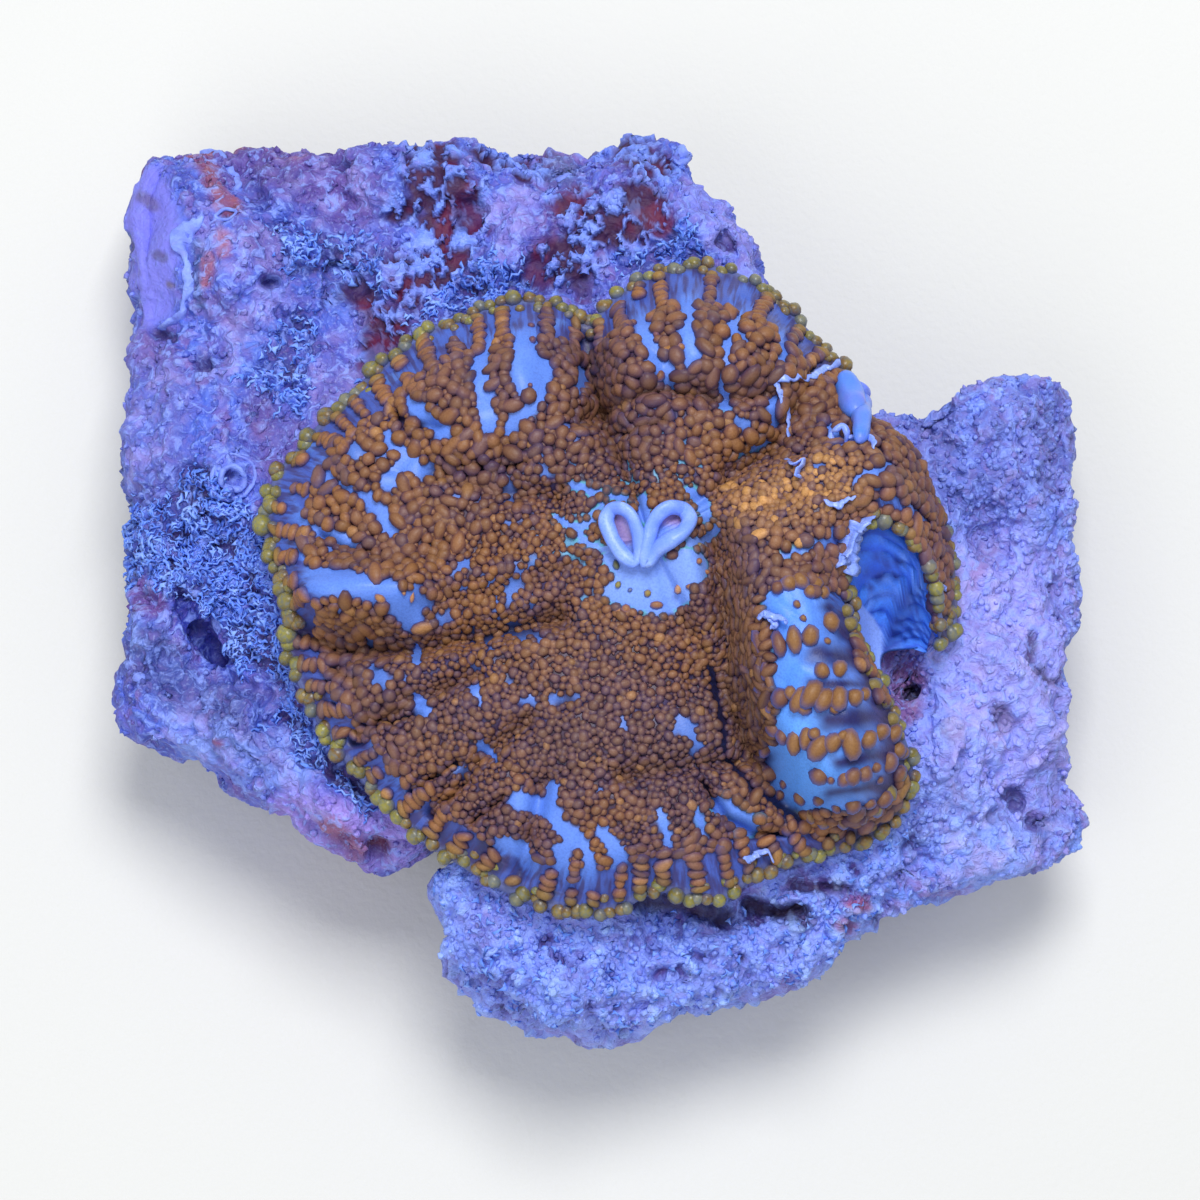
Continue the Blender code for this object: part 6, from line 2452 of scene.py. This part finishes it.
@dataclass
class WormTubes:
    """The chalky mouths of the worm tubes in the left stone's crust: low, thick and uneven rings."""

    mouths: tuple = (
        # x and y of the middle, radius, its stretch, its turn in degrees, girth, height above the crust
        (-27.9, 9.3, 0.86, 1.05, 20.0, 0.24, 0.05),
        (-27.9, 9.4, 1.7, 1.1, 60.0, 0.14, -0.05),
        (-34.9, -5.3, 0.62, 1.1, 0.0, 0.3, -0.1),
        (5.9, 33.7, 0.62, 1.0, 0.0, 0.3, 0.5),
        (-28.5, 29.5, 0.42, 2.0, 8.0, 0.1, 0.15),
        (-3.0, 32.6, 0.9, 1.1, 40.0, 0.26, 0.15),
    )
    ribbons: tuple = (
        # x, y and half width along each pale ribbon of crust
        (
            (-30.1, 29.1, 0.12), (-30.8, 28.4, 0.5), (-31.6, 27.8, 0.8), (-31.9, 27, 0.75),
            (-31.6, 26.2, 0.4), (-31.4, 25.4, 0.22), (-31.2, 24.4, 0.42), (-31.2, 23.5, 0.5),
            (-31.5, 22.8, 0.25), (-31.5, 22, 0.3), (-32.2, 21.3, 0.5), (-33.2, 20.7, 0.55),
            (-34.3, 20, 0.45), (-35.2, 19.4, 0.2),
        ),
        (
            (-30.4, 34.9, 0.2), (-29.3, 33.9, 0.42), (-28.2, 32.7, 0.46), (-27.5, 31.6, 0.4),
            (-26.9, 30.8, 0.15),
        ),
    )

    def build(self, stone: Stone) -> None:
        """Builds and paints the mouths and ribbons.

        Args:
            stone: The stone that they stand on.
        """
        parts = []
        for number, (x, y, radius, stretch, way, girth, lift) in enumerate(self.mouths):
            turn = np.linspace(0.0, 2.0 * np.pi, 36, endpoint=False)
            ring = np.column_stack([stretch * np.cos(turn), np.sin(turn)]) * radius
            way = math.radians(way)
            ring = ring @ np.array(((math.cos(way), math.sin(way)), (-math.sin(way), math.cos(way)))) + (x, y)
            path = np.array([stone.surface(*spot) for spot in ring]) + (0.0, 0.0, lift)
            path = smoothed(path, 8, closed=True)
            path = path + noises(path, 1.1, (5 + number, 25 + number, 45 + number), 2) * (0.16, 0.16, 0.3)
            width = girth * (1.0 + 0.5 * fine_noise(path, 0.7, 65 + number, 2))
            parts.append(tube(path, np.column_stack([width, 1.5 * width]), 10, True))
        for number, ribbon in enumerate(self.ribbons):
            line = open_spline(np.array(ribbon), 9 * len(ribbon))
            path = smoothed(np.array([stone.surface(*spot) for spot in line[:, :2]]), 10, closed=False)
            path = path + (0.0, 0.0, 0.12)
            width = line[:, 2] * (1.0 + 0.7 * fine_noise(path, 0.8, 85 + number, 2))
            shape, faces = tube(path, np.column_stack([width, np.full(len(path), 0.24)]), 14, False)
            parts.append((shape + 0.16 * fine_noise(shape, 0.6, 95, 2)[:, None], faces))
        chalk = CorallineCrust("chalky_worm_tube", grain_mm=0.2, bump_mm=0.12)
        piece = strands(
            "worm_tube_mouths", parts, "#6c80e0", "#8aa4fa", lambda at: 0.45 + fine_noise(at, 0.7, 4, 2),
            chalk, Slot.LEFT,
        )
        paint(piece.data, "laced", np.full(len(piece.data.vertices), 0.5))


# The bent line of a tuft of turf, in its lengths.
TUFT_LINE = (
    (-0.5, -0.12, 0), (-0.24, 0.11, 0.13), (0.05, -0.08, 0.18), (0.3, 0.09, 0.13), (0.5, -0.05, 0),
)
# The left stone's patches of colour, some of them painted shade in holes and a cave: line, half width,
# colour, strength, raggedness, softness.
LEFT_PATCHES = tuple(Patch(*row) for row in (
    (((-34.6, 31), (-33.8, 27), (-34.4, 23)), 2.1, "#8c86ea", 0.9, 0.4, 0.7),
    (((-33.4, 26.2), (-33, 26)), 0.3, "#64588a", 0.8, 0.3, 0.15),
    (((-35.2, 24.9), (-35.1, 24.8)), 0.3, "#64588a", 0.7, 0.3, 0.15),
    (((-32.6, 24), (-32.4, 23.9)), 0.25, "#7a6448", 0.7, 0.3, 0.15),
    (((-34.8, 30.6), (-34, 30)), 0.45, "#6c5a7c", 0.7, 0.5, 0.25),
    (((-26.6, 34.6), (-22.6, 33), (-20, 31)), 3.4, "#694692", 0.85, 1.2, 1.6),
    (((-24, 28), (-21.4, 22), (-24, 17)), 3, "#4a66cc", 0.6, 1.6, 1.6),
    (((-34.6, 19), (-33.2, 17.4)), 1.4, "#8a6aa8", 0.7, 1, 0.8),
    (((-29, 22.4), (-27, 21)), 1.2, "#7a5a90", 0.6, 1, 0.7),
    (((-24, 34.4), (-23.2, 34.2)), 1.1, "#c47a90", 0.8, 0.6, 0.6),
    (((-26, 27.6), (-25, 25.6)), 1.4, "#7a5a98", 0.6, 1, 0.6),
    (((-31.6, 34.6), (-30, 33), (-28.8, 31.2), (-28, 30)), 0.75, "#a85450", 0.95, 0.8),
    (((-28.7, 27.6), (-28.5, 26.2)), 0.55, "#b4523c", 0.95, 0.5),
    (((-29.6, 25.8), (-30, 24.2)), 0.65, "#b8645e", 0.9, 0.7),
    (((-30.5, 27), (-30.7, 24.8), (-30.4, 22.4)), 0.4, "#3c5480", 0.85, 0.4, 0.25),
    (((-33.6, 20.4), (-32.6, 20)), 0.35, "#4a3458", 0.9, 0.2, 0.2),
    # Painted shade in two small holes.
    (((-25.3, 24.3), (-25, 24.1)), 0.55, "#2e2454", 0.95, 0.3, 0.25),
    (((-30.2, 18), (-30, 17.6)), 0.6, "#35285c", 0.85, 0.5, 0.3),
    (((-31, 14.6), (-30.6, 10)), 1.1, "#5c80f0", 0.6, 1.2, 0.8),
    (((-33.6, 16), (-34.8, 11), (-34, 9)), 2.2, "#6c74c8", 0.7, 1, 0.8),
    (((-27.8, 9.6), (-27.7, 9.5)), 2.3, "#7c8eec", 0.8, 0.5, 0.5),
    (((-23.4, 13), (-24.6, 10), (-25.8, 14.6)), 1.6, "#6c4a88", 0.6, 1.2, 0.6),
    # Painted shade in the cave.
    (((-31.6, 0.4), (-30.6, -2.4), (-28.4, -5.4)), 0.9, "#1c34a8", 0.9, 0.6, 0.5),
    (((-30.3, -2.6), (-29, -4.6)), 1, "#16248a", 0.9, 0.6, 0.5),
    (((-35, 1), (-34.2, -0.2)), 1.1, "#7c4480", 0.8, 1),
    (((-34.4, -4), (-31, -7.4), (-29, -7.8)), 2.2, "#4c5c9c", 0.8, 1.1, 0.8),
    (((-30.6, -10.4), (-27, -11), (-23.4, -13.4)), 1.7, "#8ea6f8", 0.85, 0.8, 0.6),
    (((-29.3, -10.8), (-29.1, -10.9)), 0.4, "#a0303e", 0.95, 0.2, 0.15),
    (((-23, -16.4), (-19, -18.4), (-13.6, -18.2)), 2.4, "#b696ea", 0.9, 0.9, 0.8),
    (((-20.6, -17.2), (-18.6, -18.8)), 0.9, "#b2605e", 0.8, 0.8),
    (((-16.9, -19.2), (-16.7, -19)), 0.75, "#5e1430", 1, 0.3, 0.25),
    (((7.6, 30.4), (10.4, 27.6), (13, 24.6)), 2, "#9094ee", 0.85, 0.7, 0.6),
    # Painted shade in a hole.
    (((9.4, 27.4), (9.9, 26.9)), 0.6, "#5c3a66", 0.85, 0.4, 0.3),
    (((-3, 32.8), (-2.8, 32.4)), 1.5, "#44557c", 0.7, 0.7, 0.5),
    (((-20, 16.4), (-21.6, 11), (-24, 6)), 2.2, "#8068a8", 0.5, 1.6, 1.2),
    (((-16, 26.6), (-14.6, 20), (-17, 14.6)), 1.6, "#6a4a94", 0.5, 1.4, 1),
    (((-6.4, 29.8), (-6.8, 27)), 1.4, "#9c90dc", 0.7, 1, 0.6),
))
# Its zones of other crust: line, half width.
LEFT_ZONES = {
    Crust.TURF: (
        (((-33, 6), (-28, 3), (-24, 0)), 4.6), (((-25, -3), (-22.6, -8), (-19, -13)), 3.4),
        (((-27, 20.6), (-22.6, 17.6), (-19, 12)), 3.2),
        (((-24, 27), (-19, 25.6), (-12, 22.6), (-7, 24.4)), 2.4), (((2, 27), (6, 26.4), (9, 29.4)), 2),
    ),
    Crust.LACE: (
        (((-18.6, 22.6), (-17.2, 19.6), (-16, 17.6)), 2.2),
        (((-12.6, 33), (-10.6, 29.4), (-12.8, 26), (-14.6, 24.8)), 2.5), (((-8.8, 34), (-5.2, 33.4)), 1.4),
        (((-2.2, 29.8), (-0.4, 28), (-4.2, 26), (-1.6, 25.6)), 1.9), (((2, 34.2), (4.2, 33)), 1.4),
        (((2.8, 30.2), (3.8, 28.6), (1.4, 27.8)), 2), (((-16, 30), (-15.4, 29.6)), 1.1),
    ),
    Crust.CHALK: (
        (((-26.4, 34.6), (-23, 32.4), (-19.4, 31)), 3.2), (((-27.6, 27.4), (-26, 23), (-28.4, 19.6)), 2.6),
        (((-34, 16), (-34.6, 10)), 2.2), (((-6.4, 29.6), (-6.6, 27)), 1.6),
        (((-19.6, 20.6), (-21.4, 14), (-23, 8)), 1.6), (((-26.6, -7.6), (-32, -8.6)), 1.8),
        (((8.4, 30), (12.6, 25.4)), 2.2), (((-30, -10.6), (-25, -11.8), (-20, -17)), 1.8),
    ),
    Crust.SMOOTH: (
        (((-34.8, 30.6), (-33.9, 27), (-34.6, 23.4)), 2.4),
    ),
}
# Where the lace has worn off the crimson: line, half width.
LEFT_WORN = (
    (((-18.8, 22.6), (-17.2, 19.8), (-16, 17.4)), 1.3), (((3, 30.4), (3.6, 28.8)), 1.2),
    (((-10.4, 29.4), (-11.2, 31.6)), 1),
)
# Its caves, holes and cracks: line, half width, depth.
LEFT_HOLLOWS = (
    (((-31.7, 0.2), (-31.1, -1.4)), 0.6, 1), (((-30.3, -2.6), (-29, -4.6)), 1, 1.3),
    (((-33.4, -4.4), (-31.4, -7.4)), 1.2, 0.6), (((-28, -6), (-25.6, -7.4)), 0.7, 0.7),
    (((-25.3, 24.3), (-24.9, 24.1)), 0.7, 1.1), (((-30.4, 18.1), (-30, 17.7)), 0.5, 0.8),
    (((-33.8, 20.4), (-32.6, 20)), 0.32, 0.6), (((-24.4, 22), (-23, 20.6)), 0.4, 0.5),
    (((-26.4, 31.6), (-25.6, 30.4)), 0.7, 0.6), (((-21.6, 34), (-19.4, 33)), 0.6, 0.7),
    (((-17, -19.6), (-16.8, -19.2)), 0.7, 1.2), (((-34.8, 0.6), (-34.3, 0.1)), 0.5, 0.6),
    (((9.3, 27.4), (9.9, 27)), 0.5, 0.7), (((-28.5, 29.5), (-28.4, 29.5)), 0.7, 0.6),
    (((-27.9, 9.3), (-27.8, 9.3)), 0.6, 0.8), (((5.9, 33.7), (6, 33.7)), 0.5, 0.8),
    (((-34.9, -5.3), (-34.8, -5.3)), 0.45, 0.5), (((-31.6, 13.6), (-31.2, 10.4)), 1.1, 0.35),
)
# The same for the right stone.
RIGHT_HOLLOWS = (
    (((3.4, -22.9), (6.4, -23.2), (9.6, -24)), 0.9, 1.7),
    (((11.4, -23.2), (13.6, -23.8), (15.2, -23.6)), 0.7, 1.7), (((14.8, -21.7), (18.4, -21.9)), 0.4, 1),
    (((31.3, -15.1), (31.7, -15.3)), 0.7, 0.6), (((33.1, -16.7), (33.7, -16.9)), 0.8, 0.6),
    (((30, -16.4), (30.1, -16.5)), 0.5, 0.5), (((30.3, -8.7), (30.7, -9)), 0.6, 0.5),
    (((23.7, -18.3), (23.9, -18.6)), 1, 0.7), (((23.7, -6.95), (23.75, -7)), 0.45, 1.1),
    (((32.8, -2.7), (33, -4.8), (34.2, -6.2), (36, -6.4)), 0.28, 0.4), (((25, 13), (27, 11.4)), 0.5, 0.5),
    (((33.6, 9.8), (35, 8)), 0.5, 0.5),
)
# The right stone's patches of colour, laid out the same way, some of them painted shade in pits, a crack and
# the crevice under the polyp's margin.
RIGHT_PATCHES = tuple(Patch(*row) for row in (
    (((22, 11), (28, 9), (34, 12)), 5, "#7078cc", 0.55, 1.5, 2),
    (((31, 1), (32.6, -5), (33.6, -12)), 4.6, "#a4a0f8", 0.7, 1.4, 1.6),
    (((26, -6), (27, -12)), 3, "#989cf4", 0.6, 1.4, 1.4),
    (((28.6, 2.4), (28.3, 1.6)), 0.6, "#a878b0", 0.6, 0.8, 0.5),
    (((22.6, -3.8), (23.4, -6), (22.9, -8.2)), 1.4, "#86507c", 0.9, 0.8, 0.5),
    # Painted shade in a deep pit.
    (((23.7, -6.95), (23.75, -7)), 0.6, "#0e0818", 1, 0.05, 0.12),
    (((26.8, -9.8), (27, -10)), 1, "#8a86a8", 0.6, 0.6, 0.4),
    # Painted shade in a crack and a pit.
    (((32.8, -2.6), (33, -4.8), (34.2, -6.2), (36, -6.4)), 0.3, "#4c4478", 0.9, 0.25, 0.2),
    (((30.4, -8.6), (30.8, -9.4)), 0.8, "#6a5c94", 0.75, 0.5, 0.4),
    # Painted shade in the crevice under the polyp's margin.
    (((3.6, -22.6), (7, -23.4), (9.8, -24.2)), 1.2, "#301c3e", 0.95, 0.9),
    (((11.2, -23), (13.4, -23.8), (15.2, -23.8)), 0.8, "#1c1a3c", 0.95, 0.6),
    (((14.8, -21.6), (18.4, -21.8)), 0.5, "#4a2040", 0.9, 0.6),
    (((19, -23.1), (19.8, -22.9)), 0.5, "#9c3040", 0.95, 0.4),
    (((18.4, -24.6), (18.7, -24.7)), 0.5, "#90485c", 0.9, 0.4),
    (((-8, -26), (0, -28), (8, -26.6)), 4.4, "#7a92f0", 0.6, 1.4, 1.6),
    # Painted shade in four pits.
    (((31.4, -15), (31.7, -15.4)), 0.8, "#5a5cae", 0.85, 0.4, 0.3),
    (((33.1, -16.6), (33.7, -17)), 0.8, "#5a5cae", 0.85, 0.4, 0.3),
    (((30, -16.4), (30.2, -16.5)), 0.6, "#5f62b4", 0.8, 0.3, 0.3),
    (((23.6, -18.2), (23.9, -18.6)), 1.2, "#4a60b8", 0.8, 0.5, 0.4),
    (((22, -12.6), (26, -16.6), (30, -19.6)), 2.4, "#8ea4fa", 0.6, 1.2, 1),
))
RIGHT_ZONES = {
    Crust.SPONGE: (
        (((-11, -22.6), (-6, -27), (2, -29), (9, -27.4), (16, -26)), 5.4), (((20, -20), (23, -16)), 2),
    ),
    Crust.CHALK: (
        (((29.6, 0.6), (32, -6), (33, -12)), 4.2), (((26, -6), (27.4, -14)), 2.6),
        (((33, -17), (28, -20)), 2.2),
    ),
}


# ---------------------------------------------------------------- studio
@dataclass
class Studio:
    """Pale floor, soft lights and the camera."""

    elevation: float = 78.0
    lens_mm: float = 100.0
    sensor_mm: float = 36.0
    width_mm: float = 91.2
    target_mm: tuple = (0.0, 0.0, 22.0)
    sky: tuple = (0.9, 0.94, 1.0, 1.0)
    sky_strength: float = 0.5

    def build(self) -> None:
        """Sets the studio up."""
        mesh = bpy.data.meshes.new("floor")
        mesh.from_pydata([(-2, -2, 0), (2, -2, 0), (2, 2, 0), (-2, 2, 0)], [], [(0, 1, 2, 3)])
        floor = place("floor", mesh)
        floor.location.z = -0.00005
        mesh.materials.append(StudioFloor("pale_matt_board").material())
        target = Vector(to_frame(self.target_mm))
        back = math.radians(self.elevation)
        away = Vector((0.0, -math.cos(back), math.sin(back)))
        data = bpy.data.cameras.new("camera")
        data.lens, data.sensor_width, data.clip_start = self.lens_mm, self.sensor_mm, 0.01
        camera = bpy.data.objects.new("camera", data)
        self.aim(camera, target + away * (self.width_mm * MM * self.lens_mm / self.sensor_mm), -away)
        bpy.context.scene.camera = camera
        self.light("key", (0.03, 0.13, 0.38), 0.16, 1.3, target)
        self.light("fill", (-0.14, -0.22, 0.30), 0.30, 0.5, target)
        world = bpy.data.worlds.new("studio")
        world.use_nodes = True
        background = world.node_tree.nodes["Background"]
        background.inputs["Color"].default_value = self.sky
        background.inputs["Strength"].default_value = self.sky_strength
        bpy.context.scene.world = world
        bpy.context.scene.view_settings.view_transform = "Standard"

    @staticmethod
    def aim(thing: Piece, at: Vector, way: Vector) -> None:
        """Stands a camera or a light at a point and turns it a way.

        Args:
            thing: The camera or the light.
            at: Where it stands, in metres.
            way: The way it looks.
        """
        thing.location = at
        thing.rotation_euler = way.to_track_quat("-Z", "Y").to_euler()
        bpy.context.scene.collection.objects.link(thing)

    def light(self, name: str, at: tuple, size: float, watts: float, target: Vector) -> None:
        """Adds a soft square light.

        Args:
            name: Its name.
            at: Where it is, in metres.
            size: Its side.
            watts: Its power.
            target: What it points at.
        """
        data = bpy.data.lights.new(name, "AREA")
        data.size, data.energy = size, watts
        self.aim(bpy.data.objects.new(name, data), Vector(at), target - Vector(at))


def stones_drawn() -> tuple[Stone, Stone]:
    """The two stones, as they are drawn.

    Returns:
        The left one and the right one.
    """
    left = Stone(
        "left_rock", Slot.LEFT, LEFT_STONE, (-11.0, 11.0), 1, "#5a72dc", "#6c6ccc", LEFT_PATCHES, LEFT_ZONES,
        LEFT_HOLLOWS, crumbly=0.35, shade="#14207a", tone=(0.78, 0.86, 0.98), worn=LEFT_WORN,
        inside=(Patch(((-16.9, -19.2), (-16.7, -19.0)), 0.8, "#641634", 0.85, 0.3, 0.35),),
    )
    right = Stone(
        "right_rock", Slot.RIGHT, RIGHT_STONE, (17.0, -12.0), 11, "#86a0ff", "#9ca2fc", RIGHT_PATCHES,
        RIGHT_ZONES, RIGHT_HOLLOWS, tone=(1.02, 1.1, 1.08), pitted=0.6, columns=580, top_rings=84,
        side_rings=32,
    )
    return left, right


def main() -> None:
    """Builds every piece in order."""
    logging.basicConfig(level=logging.INFO, format="%(message)s")
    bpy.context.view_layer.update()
    Studio().build()
    polyp = Polyp()
    polyp.skin()
    planter = Planter(scattered=False)
    # Beads: the foot colour carries painted shade down their sides, and the pale tops are painted highlights.
    tissue = LivingTissue(
        "bead_tissue", foot_shade_from=0.22, foot_shade_to=0.98, grain_mm=0.14, grain_dark="#5a3420", grain_share=0.25,
        pale_highlight_share=0.15, coat=0.1, roughness=0.48, seam_mm=0.12,
    )
    rim_tissue = LivingTissue(
        "see_through_rim_bead", foot_shade_from=0.12, foot_shade_to=0.8, grain_mm=0.3, grain_dark="#5c6a78",
        grain_share=0.5, pale="#bcb66e", pale_highlight_share=0.25, roughness=0.32, coat=0.3, subsurface=0.2,
    )
    polyp.beads(planter, tissue.material())
    polyp.rim_beads(planter, rim_tissue.material())
    polyp.filaments()
    polyp.blisters()
    polyp.mucus()
    stones = stones_drawn()
    scatter = Planter(scattered=True)
    crusts = (
        CorallineCrust("turfed_coralline_crust"),
        CorallineCrust("pebbly_coralline_crust", mottle_mm=0.85),
    )
    # Growth, shape, finish, spacing in metres, smallest, largest, sway.
    growths = (
        ("tufts", curl("turf_tuft", TUFT_LINE, 0.13), TurfTuft("pale_turf"), 0.00044, 0.45, 1.35, 0.5),
        ("shreds", flake("turf_shred", 6, 8, 0.8, 0.26), TurfTuft("shredded_turf"), 0.00062, 0.6, 1.5, 0.6),
        (
            "flakes", flake("crust_flake", 8, 3, 0.8, 0.4), CorallineCrust("flaky_crust", light_share=0.15),
            0.00075, 0.5, 1.2, 0.4,
        ),
        (
            "crumbs", crumb("crust_crumb", 4), CorallineCrust("crumbly_crust", warm_share=0.2),
            0.0006, 0.3, 0.75, 1.0,
        ),
    )
    growths = [(kind, shape, finish.material(), *rest) for kind, shape, finish, *rest in growths]
    for stone, crust in zip(stones, crusts):
        piece = stone.build()
        finish_piece(piece, crust, stone.slot, stone.name)
        for kind, shape, finish, spacing, smallest, largest, sway in growths:
            if stone.grow[kind].max() < GROWS_FROM:
                continue
            grown = scatter.grow(
                f"{stone.name}_{kind}", stone.grown_on(piece, kind), 0.1, Shape=shape, Finish=finish,
                Seed=11, Spacing=spacing, Smallest=smallest, Largest=largest, Sway=sway,
            )
            finish_piece(grown, None, stone.slot)
    WormTubes().build(stones[0])


if __name__ == "__main__":
    main()
